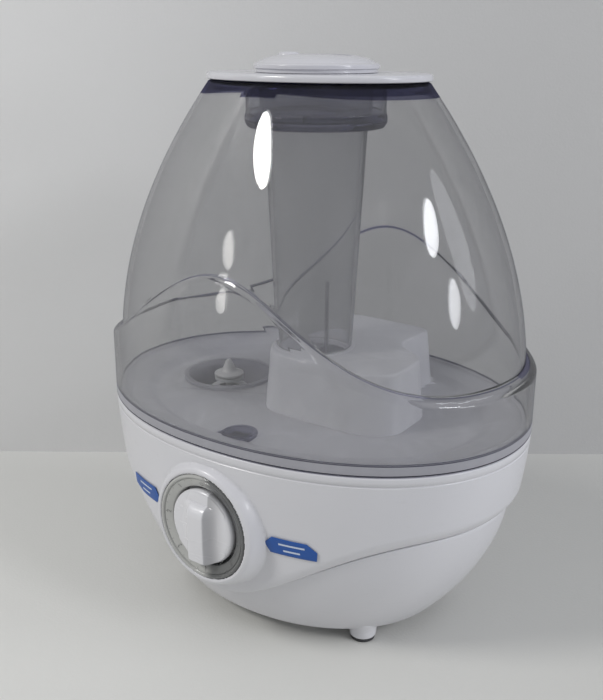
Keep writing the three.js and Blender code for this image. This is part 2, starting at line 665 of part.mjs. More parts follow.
function nozzleCap() {
  const shell = turned([
    [19, NOZZLE_LOW_Z - 6], [21, NOZZLE_LOW_Z - 6], [21, NOZZLE_LOW_Z + 0.3], [26.2, NOZZLE_LOW_Z + 0.3],
    [26.2, NOZZLE_LOW_Z + 2], [27.2, NOZZLE_LOW_Z + 2.2], [27.2, NOZZLE_LOW_Z + 4.6],
    [25, NOZZLE_LOW_Z + 6], [19, NOZZLE_TOP_Z - 0.9], [17, NOZZLE_TOP_Z - 0.4], [0, NOZZLE_TOP_Z - 0.6],
    [0, NOZZLE_TOP_Z - 2.6], [17, NOZZLE_TOP_Z - 2.6], [19, NOZZLE_LOW_Z + 4],
  ], 0, 0, 28);
  const lump = turned([
    [0, NOZZLE_TOP_Z - 2], [4.5, NOZZLE_TOP_Z - 2], [4.5, NOZZLE_TOP_Z - 0.6], [3.4, NOZZLE_TOP_Z],
    [0, NOZZLE_TOP_Z],
  ], -13.5, -2, 16);
  const slotHalf = 4.2;
  const mouth = box([-3, -slotHalf, NOZZLE_TOP_Z - 8], [13, slotHalf, NOZZLE_TOP_Z + 3]);
  const mouthEnd = disc(slotHalf, NOZZLE_TOP_Z - 8, NOZZLE_TOP_Z + 3, 13, 0, 20);
  const mouthStart = disc(slotHalf, NOZZLE_TOP_Z - 8, NOZZLE_TOP_Z + 3, -3, 0, 20);
  return shell.add(lump).subtract(mouth.add(mouthEnd).add(mouthStart));
}

// ---------------------------------------------------------------- cap and valve
const CAP_LOW_Z = 75;
const HUB_TOP_Z = 88.5;
const VALVE_FOOT_Z = 78;
const VALVE_PLATE_Z = HUB_TOP_Z + 6; // raised valve plate; it drops 4 mm to close on the hub

function tankCap() {
  const floorTop = CAP_LOW_Z + 2;
  return turned([
    [8, CAP_LOW_Z], [26.4, CAP_LOW_Z], [26.4, 90.4], [23, 90.4], [23, floorTop], [10.4, floorTop],
    [9.4, HUB_TOP_Z], [5, HUB_TOP_Z], [5, HUB_TOP_Z - 2], [8, HUB_TOP_Z - 2],
  ], CAP_X);
}

function valvePlunger() {
  const plateZ = VALVE_PLATE_Z;
  return turned([
    [0, VALVE_FOOT_Z], [6.8, VALVE_FOOT_Z], [6.8, VALVE_FOOT_Z + 1.2], [1.9, VALVE_FOOT_Z + 1.6],
    [1.9, plateZ], [7.4, plateZ], [7.4, plateZ + 1.6], [3, plateZ + 3.4], [0.9, plateZ + 8.4],
    [0, plateZ + 8.4],
  ], CAP_X, 0, 24);
}

function valveSpring() {
  return tube(7.2, 5.8, VALVE_FOOT_Z + 1.5, HUB_TOP_Z - 2.3, CAP_X, 0, 20);
}

// ---------------------------------------------------------------- blank labels
function blankLabel(x0, x1, lowZ) {
  const steps = 6;
  const bottom = [];
  const top = [];
  for (let i = 0; i <= steps; i += 1) {
    bottom.push(labelColumn(x0 + ((x1 - x0) * i) / steps, lowZ));
    top.push(labelColumn(x0 + ((x1 - x0) * i) / steps, lowZ + 8.5));
  }
  const columns = bottom.map(([front, back], i) => [front, top[i][0], top[i][1], back]);
  const hub = (column) => [column.reduce((sum, p) => sum.add(p), new THREE.Vector3()).multiplyScalar(0.25)];
  return loft([hub(columns[0]), ...columns, hub(columns.at(-1))]);
}

function labelColumn(x, z) {
  const halfX = bandWidth(z);
  const halfY = halfX * depthAt(z);
  const yAt = (extra) => {
    const share = 1 - (Math.abs(x) / (halfX + extra)) ** OVAL_POWER;
    return -(halfY + extra) * share ** (1 / OVAL_POWER);
  };
  return [new THREE.Vector3(x, yAt(0.9), z), new THREE.Vector3(x, yAt(0.4), z)];
}

// ---------------------------------------------------------------- assembly
add('lower_bowl', lowerBowl(), WHITE);
add('upper_housing', upperHousing(), WHITE);
add('basin', basin(), WHITE);
add('mist_chamber', mistChamber(), WHITE);
add('mist_tower', mistTower(), WHITE);
add('air_chimney', airChimney(), WHITE);
add('air_duct', airDuct(), WHITE);
add('fan_housing', fanHousing(), BLACK);
add('fan_motor', tube(6.2, 1.4, FAN_LOW_Z + 1.9, FAN_TOP_Z - 3, FAN_X, FAN_Y, 20), STEEL);
add('fan_impeller', fanImpeller(), BLACK);
transducerParts();
floatParts();
electronics();
add('potentiometer', potentiometer(), BLACK);
add('cord_gland', cordGland(), BLACK);
add('dial_ring', dialRing(), DIAL_GREY);
add('knob', knobBody(), WHITE);
add('knob_shaft', knobShaft(), STEEL);
add('label_right', blankLabel(29.6, 51.2, 54.5), LABEL_BLUE);
add('label_left', blankLabel(-56, -34, 56.5), LABEL_BLUE);
for (const [place, [x, y]] of Object.entries(FOOT_PLACES)) {
  add(`foot_pad_${place}`, disc(5.6, 0, PAD_HEIGHT, x, y, 20), RUBBER);
}
for (const [place, [x, y]] of Object.entries(POST_PLACES)) {
  const head = FOOT_HEIGHT + 1.2 - GAP;
  add(`base_screw_${place}`, turned([
    [0, head - 2], [SCREW_HEAD_RADIUS, head - 2], [SCREW_HEAD_RADIUS, head], [1.2, head], [1.2, 22], [0, 22],
  ], x, y, 12), STEEL);
}
add('tank_shell', tankShell(), SMOKE);
add('tank_floor', tankFloor(), SMOKE);
add('mist_tube', mistTube(), SMOKE);
add('nozzle_cup', nozzleCup(), SMOKE);
add('top_plate', topPlate(), WHITE);
add('tank_cap', tankCap(), WHITE);
add('cap_gasket', tube(22.6, NECK_INNER, NECK_LOW_Z - 2.6, NECK_LOW_Z - GAP, CAP_X), SILICONE);
add('valve_plunger', valvePlunger(), WHITE);
add('valve_seal', tube(7.2, 2.2, VALVE_PLATE_Z - 1.9, VALVE_PLATE_Z - GAP, CAP_X, 0, 24), SILICONE);
add('valve_spring', valveSpring(), STEEL);
add('nozzle_insert', nozzleInsert(), SMOKE);
add('nozzle_cap', nozzleCap(), WHITE);

export default humidifier;
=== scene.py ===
"""Finished look of the cool mist humidifier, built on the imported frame.

Every length is in millimetres about the centre of the oval body until solid() turns it into the
frame's metres. The shapes follow the CAD part's own dimensions at a higher resolution.
"""
import math

import bmesh
import bpy
import numpy as np
from mathutils import Matrix, Quaternion, Vector


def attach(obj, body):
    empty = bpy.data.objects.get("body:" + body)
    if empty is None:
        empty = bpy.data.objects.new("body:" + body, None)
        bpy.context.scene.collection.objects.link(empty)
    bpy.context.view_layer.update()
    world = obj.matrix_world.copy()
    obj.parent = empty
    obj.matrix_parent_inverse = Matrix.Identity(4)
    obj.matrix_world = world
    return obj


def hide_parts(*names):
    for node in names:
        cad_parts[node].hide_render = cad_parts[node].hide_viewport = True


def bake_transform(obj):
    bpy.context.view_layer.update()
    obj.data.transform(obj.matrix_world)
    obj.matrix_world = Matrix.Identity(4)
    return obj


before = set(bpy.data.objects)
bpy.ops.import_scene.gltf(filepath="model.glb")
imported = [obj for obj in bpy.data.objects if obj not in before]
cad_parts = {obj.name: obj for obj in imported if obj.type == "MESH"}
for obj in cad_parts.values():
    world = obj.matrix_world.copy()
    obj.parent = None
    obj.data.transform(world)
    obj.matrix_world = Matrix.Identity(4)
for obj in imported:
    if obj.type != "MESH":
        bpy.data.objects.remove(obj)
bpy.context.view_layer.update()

# -------- driving dimensions, in mm
MM = 0.001
CENTRE_Y = 3.8
HALF_WIDTH = 105.0
DEPTH_RATIO = 0.743
OVAL_POWER = 2.09
JOINT_Z = 95.1
TANK_LOW_Z = 95.7
TANK_TOP_Z = 241.0
SHOULDER_LOW_Z = 124.0
SHOULDER_HIGH_Z = 166.0
CLEAR_WALL = 2.2
WHITE_WALL = 2.5
FOOT_HEIGHT = 7.0
PAD_HEIGHT = 1.4
PARTING_LOW_Z = 25.0
PARTING_HIGH_Z = 63.0
DIAL_Z = 60.0
DIAL_FACE_Y = -81.2
DIAL_RADIUS = 23.7
FLOOR_TOP_Z = 94.5
FLOOR_RIM_Z = 100.0
BLOCK_TOP_Z = 121.5
DECK_TOP_Z = 91.4
SLAB_LOW_Z = 89.0
TOWER_TOP_Z = 114.0
CAP_X = -53.5
CAP_LOW_Z = 75.0
HUB_TOP_Z = 88.5
NECK_RADIUS = 22.6
NECK_LOW_Z = 80.0
CHAMBER = (30.0, -4.0)
CHAMBER_Z = 74.0
FLOAT_Y = -54.0
CUP_RADIUS = 31.0
CUP_LOW_Z = 221.0
PLATE_LOW_Z = 241.3
PLATE_TOP_Z = 244.2
NOZZLE_HOLE = 25.2
NOZZLE_LOW_Z = 244.5
NOZZLE_TOP_Z = 252.6
VALVE_FOOT_Z = 78.0
VALVE_PLATE_Z = 94.5
BLOCK_CORNERS = [
    (-22, -8), (-9, -26), (40, -26), (56, -17), (54, 14), (34, 26), (35, 58), (-16, 58), (-22, 40),
]
BLOCK_DRAFT = 2.4
FOOT_PLACES = [(51, -31), (-51, -31), (51, 31), (-51, 31)]
POST_PLACES = [(37, -37), (-28, -40), (37, 37), (-28, 40)]
FAN = (8.0, 22.0)
GLAND_X = -30.0
GLAND_Z = 21.0
DUCT = ((-4.0, 19.0), (32.0, 44.0))
ROUND = 96
BODY_STEPS = 288
PLATE_STEPS = 192
BOSS_REACH = 36
LIGHT_BOUNCES = 24


# -------- camera
def link(obj):
    bpy.context.scene.collection.objects.link(obj)
    return obj


def make_camera():
    """The camera stands about 421 mm from the body's axis, a little above the nozzle's top."""
    stand, height, lens = 421.4, 255.8, 48.28
    turn, yaw, pitch, roll = (math.radians(v) for v in (35.839, 0.814, 18.061, 0.274))
    heading = turn + yaw
    forward = Vector((
        -math.sin(heading) * math.cos(pitch), math.cos(heading) * math.cos(pitch), -math.sin(pitch),
    ))
    level = Vector((math.cos(heading), math.sin(heading), 0))
    above = level.cross(forward)
    right = level * math.cos(roll) + above * math.sin(roll)
    up = above * math.cos(roll) - level * math.sin(roll)
    data = bpy.data.cameras.new("camera")
    data.lens = lens
    data.sensor_width = 36
    data.clip_start = 0.01
    camera = bpy.data.objects.new("camera", data)
    turned_to = Matrix((right, up, -forward)).transposed().to_4x4()
    place = Vector((stand * math.sin(turn), CENTRE_Y - stand * math.cos(turn), height)) * MM
    camera.matrix_world = Matrix.Translation(place) @ turned_to
    bpy.context.scene.camera = link(camera)


# -------- node helpers
def feed(tree, socket, value):
    """Gives a socket a plain value, or links another socket to it."""
    if isinstance(value, bpy.types.NodeSocket):
        tree.links.new(value, socket)
    else:
        socket.default_value = value


def node(tree, kind, inputs=None, **settings):
    """One shader node of a kind, such as TexNoise; inputs maps sockets to values or other sockets."""
    made = tree.nodes.new("ShaderNode" + kind)
    for key, value in settings.items():
        setattr(made, key, value)
    for key, value in (inputs or {}).items():
        feed(tree, made.inputs[key], value)
    return made


def start_material(name):
    material = bpy.data.materials.new(name)
    material.use_nodes = True
    material.node_tree.nodes.clear()
    return material, material.node_tree


def close_material(tree, shader):
    node(tree, "OutputMaterial", {"Surface": shader})


def close_principled(material, tree, inputs):
    """Ends a material with one principled surface."""
    close_material(tree, node(tree, "BsdfPrincipled", inputs).outputs[0])
    return material


def object_place(tree):
    return node(tree, "TexCoord").outputs["Object"]


def object_x(tree):
    return node(tree, "SeparateXYZ", {"Vector": object_place(tree)}).outputs["X"]


def noise(tree, scale, detail=2.0, stretch=(1, 1, 1), distortion=0.0):
    """Object-space noise; scale is in cycles per metre."""
    mapping = node(tree, "Mapping", {"Vector": object_place(tree), "Scale": stretch})
    return node(tree, "TexNoise", {
        "Vector": mapping.outputs[0], "Scale": scale, "Detail": detail, "Distortion": distortion,
    }).outputs["Fac"]


def ramp(tree, value, low, high, out_low=0.0, out_high=1.0):
    return node(tree, "MapRange", {
        "Value": value, "From Min": low, "From Max": high, "To Min": out_low, "To Max": out_high,
    }, interpolation_type="SMOOTHSTEP").outputs[0]


def math_node(tree, operation, a, b=0.0, c=0.0, clamp=False):
    inputs = {0: a, 1: b, 2: c}
    return node(tree, "Math", inputs, operation=operation, use_clamp=clamp).outputs[0]


def times(tree, a, b):
    return math_node(tree, "MULTIPLY", a, b)


def uneven(tree, value, roughness, least, most):
    """Roughness that follows value between the shares least and most of roughness."""
    return ramp(tree, value, 0.3, 0.7, roughness * least, roughness * most)


def mix_colour(tree, factor, a, b):
    made = node(tree, "Mix", {"Factor": factor}, data_type="RGBA")
    for name, value in (("A", a), ("B", b)):
        socket = [s for s in made.inputs if s.name == name and s.type == "RGBA"][0]
        feed(tree, socket, value if isinstance(value, bpy.types.NodeSocket) else (*value, 1))
    return [s for s in made.outputs if s.type == "RGBA"][0]


def bump(tree, height, depth, normal=None, strength=1.0):
    inputs = {"Height": height, "Distance": depth, "Strength": strength}
    if normal is not None:
        inputs["Normal"] = normal
    return node(tree, "Bump", inputs).outputs[0]


def shade(colour, factor):
    return tuple(min(1.0, c * factor) for c in colour)


# -------- materials
def moulded(name, colour, roughness, grain=0.00003, coat=0.0, scuffed=0.35, painted_flank_shade=False):
    """Injection-moulded plastic: faint cloudiness, fine mould grain, scuffs, and rubbed edges.
    For the knob, painted shade darkens a band just to the right of its grip."""
    material, tree = start_material(name)
    cloud = noise(tree, 22, 3)
    speck = noise(tree, 1900, 1)
    scuff = ramp(tree, noise(tree, 140, 4, (1, 1, 4), 0.6), 0.60, 0.72)
    edge = ramp(tree, node(tree, "NewGeometry").outputs["Pointiness"], 0.52, 0.60)
    base = mix_colour(tree, cloud, shade(colour, 0.955), shade(colour, 1.03))
    base = mix_colour(tree, times(tree, scuff, 0.10), base, shade(colour, 0.82))
    base = mix_colour(tree, times(tree, edge, scuffed), base, shade(colour, 1.1))
    # painted shade: the band right of the knob's grip is darkened in place of the shadow on that flank
    if painted_flank_shade:
        to_right = object_x(tree)
        start = ramp(tree, to_right, 0.0039, 0.0047)
        end = ramp(tree, to_right, 0.0055, 0.0140, 1.0, 0.0)
        base = mix_colour(tree, times(tree, start, end), base, shade(colour, 0.60))
    rough = uneven(tree, cloud, roughness, 0.88, 1.12)
    rough = math_node(tree, "ADD", rough, times(tree, scuff, 0.12), clamp=True)
    return close_principled(material, tree, {
        "Base Color": base, "Roughness": rough, "Normal": bump(tree, speck, grain),
        "Coat Weight": coat, "Coat Roughness": 0.12, "IOR": 1.5,
    })


def clear_plastic(name, tint, edge_tint, haze=0.03, haze_colour=(0.5, 0.5, 0.52), roughness=0.015):
    """Smoke-tinted glassy plastic, darker where the wall is seen edge-on, with a faint hazy film.
    Lamps and bounced light go straight through it, so that what stands inside is lit cleanly."""
    material, tree = start_material(name)
    facing = node(tree, "LayerWeight", {"Blend": 0.5}).outputs["Facing"]
    colour = mix_colour(tree, math_node(tree, "POWER", facing, 4.0), tint, edge_tint)
    ripple = bump(tree, noise(tree, 40, 1), 0.00008)
    smear = ramp(tree, noise(tree, 60, 4, (1, 1, 0.35), 0.8), 0.45, 0.75)
    glass = node(tree, "BsdfGlass", {
        "Color": colour, "Normal": ripple, "IOR": 1.46,
        "Roughness": math_node(tree, "MULTIPLY_ADD", smear, 0.03, roughness),
    }).outputs[0]
    through = node(tree, "BsdfTransparent", {"Color": (*tint, 1)}).outputs[0]
    path = node(tree, "LightPath")
    lighting_ray = math_node(
        tree, "MAXIMUM", path.outputs["Is Shadow Ray"], path.outputs["Is Diffuse Ray"],
    )
    body = node(tree, "MixShader", {0: lighting_ray, 1: glass, 2: through}).outputs[0]
    scratch = ramp(tree, noise(tree, 420, 3, (1, 1, 0.12)), 0.66, 0.78)
    film = math_node(tree, "MULTIPLY_ADD", smear, min(haze * 0.6, 0.05), haze)
    film = math_node(tree, "MULTIPLY_ADD", scratch, 0.04, film)
    veil = node(tree, "BsdfPrincipled", {
        "Base Color": (*haze_colour, 1), "Roughness": 0.5, "Normal": ripple,
    }).outputs[0]
    close_material(tree, node(tree, "MixShader", {0: film, 1: body, 2: veil}).outputs[0])
    return material


def metal(name, colour, roughness):
    """Bare metal with fine drawn lines and a little tarnish."""
    material, tree = start_material(name)
    lines = noise(tree, 900, 2, (1, 1, 0.08))
    tarnish = noise(tree, 70, 3)
    return close_principled(material, tree, {
        "Base Color": mix_colour(tree, ramp(tree, tarnish, 0.45, 0.7), colour, shade(colour, 0.7)),
        "Metallic": 1.0, "Roughness": uneven(tree, lines, roughness, 0.8, 1.3),
        "Normal": bump(tree, lines, 0.00002),
    })


def circuit_board(name):
    """Green solder mask with copper tracks showing through as paler lines."""
    material, tree = start_material(name)
    tracks = node(tree, "TexBrick", {
        "Vector": object_place(tree), "Scale": 260.0, "Mortar Size": 0.03,
        "Color1": (0.02, 0.13, 0.05, 1), "Color2": (0.03, 0.17, 0.07, 1),
        "Mortar": (0.10, 0.30, 0.14, 1),
    })
    return close_principled(material, tree, {
        "Base Color": tracks.outputs["Color"], "Roughness": ramp(tree, noise(tree, 300), 0.3, 0.7, 0.3, 0.5),
        "Normal": bump(tree, tracks.outputs["Fac"], 0.00003),
    })


def painted_surface(name, colour, dim, mottle, roughness):
    """The table and wall: matt paint with slow mottling and a fine roller texture. Painted shade
    dims it smoothly from the camera's left to its right, down to the factor dim."""
    material, tree = start_material(name)
    slow = noise(tree, 2.2, 4)
    fine = noise(tree, 700, 2)
    # painted shade: darker towards the camera's right
    to_right = {0: object_place(tree), 1: (0.802, 0.597, 0)}
    along = node(tree, "VectorMath", to_right, operation="DOT_PRODUCT")
    shadowed = ramp(tree, along.outputs["Value"], -0.22, 0.22)
    paint = mix_colour(tree, shadowed, colour, shade(colour, dim))
    mottling = mix_colour(tree, slow, (1 - mottle,) * 3, (1 + mottle,) * 3)
    paint = node(tree, "VectorMath", {0: paint, 1: mottling}, operation="MULTIPLY").outputs[0]
    return close_principled(material, tree, {
        "Base Color": paint,
        "Roughness": uneven(tree, fine, roughness, 0.9, 1.1),
        "Normal": bump(tree, fine, 0.00008),
    })


def ring_with_painted_reflection(name, left, right, roughness):
    """Glossy grey ring plastic with a painted reflection: lighter on its left half, dark on its right, with
    a soft change across the middle.
    """
    material, tree = start_material(name)
    # painted reflection: the left half takes the lighter colour and the right half the dark one, as the room
    # reflected in the ring
    reflection_tone = mix_colour(tree, ramp(tree, object_x(tree), -0.001, 0.006), left, right)
    cloud = noise(tree, 90, 3)
    reflection_tone = mix_colour(tree, times(tree, cloud, 0.25), reflection_tone, shade(right, 0.9))
    return close_principled(material, tree, {
        "Base Color": reflection_tone, "Roughness": uneven(tree, cloud, roughness, 0.8, 1.3),
        "Normal": bump(tree, noise(tree, 1500, 1), 0.00001), "Coat Weight": 0.6, "Coat Roughness": 0.08,
    })


def build_materials():
    smoke = (0.878, 0.879, 0.880)
    return {
        "white": moulded("white_moulded", (0.655, 0.655, 0.682), 0.32, coat=0.25),
        "gloss_white": moulded("nozzle_moulded", (0.60, 0.60, 0.635), 0.22, 0.00001, coat=0.35),
        # the knob's material carries painted shade on the grip's right flank
        "knob": moulded("knob_moulded", (0.70, 0.70, 0.725), 0.26, coat=0.35, painted_flank_shade=True),
        "inner_white": moulded("inner_white_moulded", (0.62, 0.622, 0.64), 0.42),
        # the dial ring's light left and dark right colours are a painted reflection
        "dial": ring_with_painted_reflection("dial_grey_painted_reflection", (0.50, 0.505, 0.485), (0.105, 0.108, 0.108), 0.16),
        "mark": moulded("dial_mark_ink", (0.05, 0.05, 0.055), 0.5),
        "label": moulded("label_print", (0.008, 0.080, 0.340), 0.42, 0.00001, coat=0.1),
        "label_bar": moulded("label_bar_ink", (0.55, 0.62, 0.74), 0.45, 0.00001),
        "rubber": moulded("pad_rubber", (0.045, 0.045, 0.048), 0.75, 0.00006),
        "pale_rubber": moulded("silicone_seal", (0.52, 0.53, 0.54), 0.55, 0.00004),
        "black": moulded("black_moulded", (0.018, 0.018, 0.020), 0.42, 0.00004),
        "float": moulded("float_moulded", (0.07, 0.07, 0.075), 0.40),
        "valve": moulded("valve_moulded", (0.52, 0.52, 0.53), 0.45),
        "smoke": clear_plastic("tank_smoke_clear", smoke, (0.50, 0.50, 0.53), 0.035),
        # the rim band's dark navy is partly the thick rim's own deeper tint and partly painted shade from
        # the gap under the plate
        "rim": clear_plastic("tank_rim_smoke_and_painted_shade", (0.26, 0.26, 0.38), (0.05, 0.05, 0.13), 0.02),
        "seam": clear_plastic("tank_seam_smoke", (0.30, 0.30, 0.38), (0.10, 0.10, 0.17), 0.06),
        "frost": clear_plastic("tank_edge_frosted", (0.8, 0.8, 0.83), (0.6, 0.6, 0.66), 0.80,
                               (0.40, 0.40, 0.435), 0.2),
        # the ledge material is a painted shade line along the shoulder ledge
        "ledge": clear_plastic("tank_ledge_painted_shade", (0.42, 0.42, 0.56), (0.16, 0.16, 0.28), 0.03),
        "tray": clear_plastic("tray_smoke_clear", (0.93, 0.93, 0.94), (0.66, 0.66, 0.71), 0.32,
                              (0.82, 0.82, 0.85)),
        "neck": clear_plastic("neck_milky_clear", (0.86, 0.86, 0.88), (0.62, 0.62, 0.66), 0.35,
                              (0.55, 0.55, 0.60)),
        "block": clear_plastic("block_milky_clear", (0.90, 0.90, 0.91), (0.82, 0.82, 0.86), 0.47,
                               (0.97, 0.97, 1.0)),
        "tube": clear_plastic("tube_smoke_clear", (0.91, 0.91, 0.915), (0.50, 0.50, 0.54), 0.07),
        "cup": clear_plastic("cup_smoke_clear", (0.875, 0.875, 0.90), (0.40, 0.40, 0.48), 0.06),
        "cup_foot": clear_plastic("cup_foot_smoke", (0.56, 0.56, 0.66), (0.16, 0.16, 0.27), 0.04),
        "steel": metal("plated_steel", (0.62, 0.63, 0.65), 0.28),
        "aluminium": metal("heat_sink_aluminium", (0.55, 0.56, 0.58), 0.38),
        "board": circuit_board("board_green"),
    }


# -------- mesh helpers
def solid(name, points, faces):
    """A mesh object from points in millimetres, with its faces turned outward."""
    mesh = bpy.data.meshes.new(name)
    mesh.from_pydata([(x * MM, (y + CENTRE_Y) * MM, z * MM) for x, y, z in points], [], faces)
    work = bmesh.new()
    work.from_mesh(mesh)
    bmesh.ops.remove_doubles(work, verts=work.verts, dist=1e-7)
    bmesh.ops.recalc_face_normals(work, faces=work.faces)
    work.to_mesh(mesh)
    work.free()
    return link(bpy.data.objects.new(name, mesh))


def loft(name, rings, sleeve=False, skip=None):
    """Skins successive rings of equal length. A sleeve joins the last ring to the first; otherwise
    both ends are closed by a fan. skip(point) leaves out quads whose corners all satisfy it."""
    points = [tuple(p) for ring in rings for p in ring]
    count = len(rings[0])
    faces = []
    spans = len(rings) if sleeve else len(rings) - 1
    for r in range(spans):
        low = r * count
        high = ((r + 1) % len(rings)) * count
        for i in range(count):
            j = (i + 1) % count
            quad = (low + i, low + j, high + j, high + i)
            if skip is None or not all(skip(points[k]) for k in quad):
                faces.append(quad)
    if not sleeve:
        for start in (0, (len(rings) - 1) * count):
            middle = np.mean(points[start:start + count], axis=0)
            points.append(tuple(middle))
            faces += [(start + i, start + (i + 1) % count, len(points) - 1) for i in range(count)]
    return solid(name, points, faces)


def oval(half_x, half_y, z, angles):
    """One oval ring; half_x, half_y and z are numbers or arrays along the angles."""
    power = 2 / OVAL_POWER
    c, s = np.cos(angles), np.sin(angles)
    x = half_x * np.sign(c) * np.abs(c) ** power
    y = half_y * np.sign(s) * np.abs(s) ** power
    return np.column_stack([x, y, np.broadcast_to(z, x.shape)])


def even_angles(steps):
    return np.arange(steps) * 2 * math.pi / steps


def circle(radius, z, steps, x=0.0, y=0.0):
    """A level ring of points about (x, y)."""
    angles = even_angles(steps)
    return np.column_stack([x + radius * np.cos(angles), y + radius * np.sin(angles), np.full(steps, z)])


def corner_arc(before, here, after, radius, share, steps):
    """The curve that replaces the corner at here, taking at most share of either side."""
    to_before = before - here
    to_after = after - here
    trim = min(radius, share * min(np.linalg.norm(to_before), np.linalg.norm(to_after)))
    start = here + to_before / np.linalg.norm(to_before) * trim
    end = here + to_after / np.linalg.norm(to_after) * trim
    made = []
    for k in range(steps + 1):
        t = k / steps
        made.append((1 - t) ** 2 * start + 2 * t * (1 - t) * here + t * t * end)
    return made


def rounded(profile, radius, steps=4):
    """The closed profile with each corner off the axis turned into a short arc."""
    made = []
    count = len(profile)
    for i in range(count):
        here = np.array(profile[i], float)
        before = np.array(profile[i - 1], float)
        after = np.array(profile[(i + 1) % count], float)
        if here[0] < 1e-6:
            made.append(tuple(here))
        else:
            made += [tuple(p) for p in corner_arc(before, here, after, radius, 0.45, steps)]
    return made


def turned(name, profile, x=0.0, y=0.0, radius=0.4, steps=ROUND):
    """A turned solid about the upright axis through (x, y); its profile lists (radius, z) corners.
    A profile that starts and ends on the axis is closed by it; any other is a ring."""
    path = rounded(profile, radius) if radius else list(profile)
    on_axis = path[0][0] < 1e-6 and path[-1][0] < 1e-6
    rings = [circle(max(r, 0.001), z, steps, x, y) for r, z in path]
    return loft(name, rings, sleeve=not on_axis)


def drum(name, radius, low, high, x=0.0, y=0.0, rounding=0.0, steps=ROUND):
    """An upright solid cylinder about (x, y)."""
    return turned(name, [(0, low), (radius, low), (radius, high), (0, high)], x, y, rounding, steps)


def dial_turned(name, profile, radius=0.4, steps=ROUND):
    """A turned solid about the dial's axis; its profile lists (radius, depth behind the dial's face)."""
    made = turned(name, [(r, -depth) for r, depth in profile], 0, -CENTRE_Y, radius, steps)
    face = Vector((0, (DIAL_FACE_Y + CENTRE_Y) * MM, DIAL_Z * MM))
    made.data.transform(Matrix.Translation(face) @ Matrix.Rotation(math.radians(90), 4, "X"))
    return made


def brick(name, low, high):
    corners = [(x, y, z) for z in (low[2], high[2]) for x, y in (
        (low[0], low[1]), (high[0], low[1]), (high[0], high[1]), (low[0], high[1]),
    )]
    faces = [(0, 1, 2, 3), (4, 5, 6, 7), (0, 1, 5, 4), (1, 2, 6, 5), (2, 3, 7, 6), (3, 0, 4, 7)]
    return solid(name, corners, faces)


def swing(obj, place, degrees, axis="Z"):
    """Turns obj, made about the body's upright axis, and then carries it to place."""
    obj.data.transform(
        Matrix.Translation(Vector(place) * MM) @ Matrix.Rotation(math.radians(degrees), 4, axis)
        @ Matrix.Translation((0, -CENTRE_Y * MM, 0))
    )


def combine(target, tool, operation):
    """Cuts, joins or intersects target with tool, and removes tool."""
    step = target.modifiers.new("step", "BOOLEAN")
    step.object = tool
    step.operation = operation
    step.solver = "MANIFOLD"
    graph = bpy.context.evaluated_depsgraph_get()
    mesh = bpy.data.meshes.new_from_object(target.evaluated_get(graph))
    target.modifiers.clear()
    target.data = mesh
    bpy.data.objects.remove(tool)
    return target


def cut(target, *tools):
    for tool in tools:
        combine(target, tool, "DIFFERENCE")
    return target


def join(target, *tools):
    for tool in tools:
        combine(target, tool, "UNION")
    return target


def gather(target, *others):
    """Adds the meshes of others to target as they are, without merging their surfaces."""
    work = bmesh.new()
    work.from_mesh(target.data)
    for other in others:
        work.from_mesh(other.data)
        bpy.data.objects.remove(other)
    work.to_mesh(target.data)
    work.free()
    return target


def dress(mesh, material):
    """Makes the named material the mesh's only one."""
    mesh.materials.clear()
    mesh.materials.append(MATERIALS[material])


def show(obj, body, material, slot, *replaced, sharp=32):
    """Finishes a piece: smooth faces with crisp edges, its material, its body, and what it replaces."""
    obj.data.shade_smooth()
    obj.data.set_sharp_from_angle(angle=math.radians(sharp))
    if not any(obj.data.materials):
        dress(obj.data, material)
    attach(obj, body)
    if replaced:
        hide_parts(*replaced)
    return obj


def paint_faces(obj, base, extras):
    """Gives obj its base material, and each (material, test) extra to the faces whose centre passes."""
    dress(obj.data, base)
    for face in obj.data.polygons:
        face.material_index = 0
    for slot_number, (material, test) in enumerate(extras, 1):
        obj.data.materials.append(MATERIALS[material])
        for face in obj.data.polygons:
            x, y, z = face.center / MM
            if test(x, y - CENTRE_Y, z):
                face.material_index = slot_number


def rounded_plan(corners, offset, radius, steps=7):
    """The plan outline grown by offset, with each corner turned into an arc."""
    count = len(corners)
    grown = []
    for i in range(count):
        before, here, after = (np.array(corners[k % count], float) for k in (i - 1, i, i + 1))
        into = (here - before) / np.linalg.norm(here - before)
        out = (after - here) / np.linalg.norm(after - here)
        normal_in = np.array([into[1], -into[0]])
        normal_out = np.array([out[1], -out[0]])
        bisector = (normal_in + normal_out) / (1 + normal_in @ normal_out)
        grown.append(here + offset * bisector)
    made = []
    for i in range(count):
        made += corner_arc(grown[i - 1], grown[i], grown[(i + 1) % count], radius, 0.42, steps)
    return np.array(made)


def tower(name, low_z, high_z, offset, draft, edge=0.0, radius=8.0):
    """The block's plan as a prism that narrows by draft towards a softened top edge."""
    def ring(amount, z):
        plan = rounded_plan(BLOCK_CORNERS, amount, radius)
        return np.column_stack([plan, np.full(len(plan), z)])

    rings = [ring(offset, low_z)]
    span = high_z - low_z
    for t in (0.3, 0.6, 0.9):
        rings.append(ring(offset - draft * t, low_z + span * t))
    for turn in (0, 22.5, 45, 67.5, 90):
        a = math.radians(turn)
        rings.append(ring(offset - draft - edge * (1 - math.cos(a)), high_z - edge * (1 - math.sin(a))))
    return loft(name, rings)


# -------- outline of the body
def across(angles):
    c = np.cos(angles)
    return np.sign(c) * np.abs(c) ** (2 / OVAL_POWER)


def arch(angles):
    """1 at the front and back middle, 0 at the two sides."""
    return ((1 + np.cos(math.pi * across(angles))) / 2) ** 1.2


def depth_ratio(z):
    return DEPTH_RATIO + 0.075 * ((JOINT_Z - np.minimum(z, JOINT_Z)) / JOINT_Z) ** 2


def egg_width(z):
    return 100.5 * (1 - ((z - 115) / 179.5) ** 2)


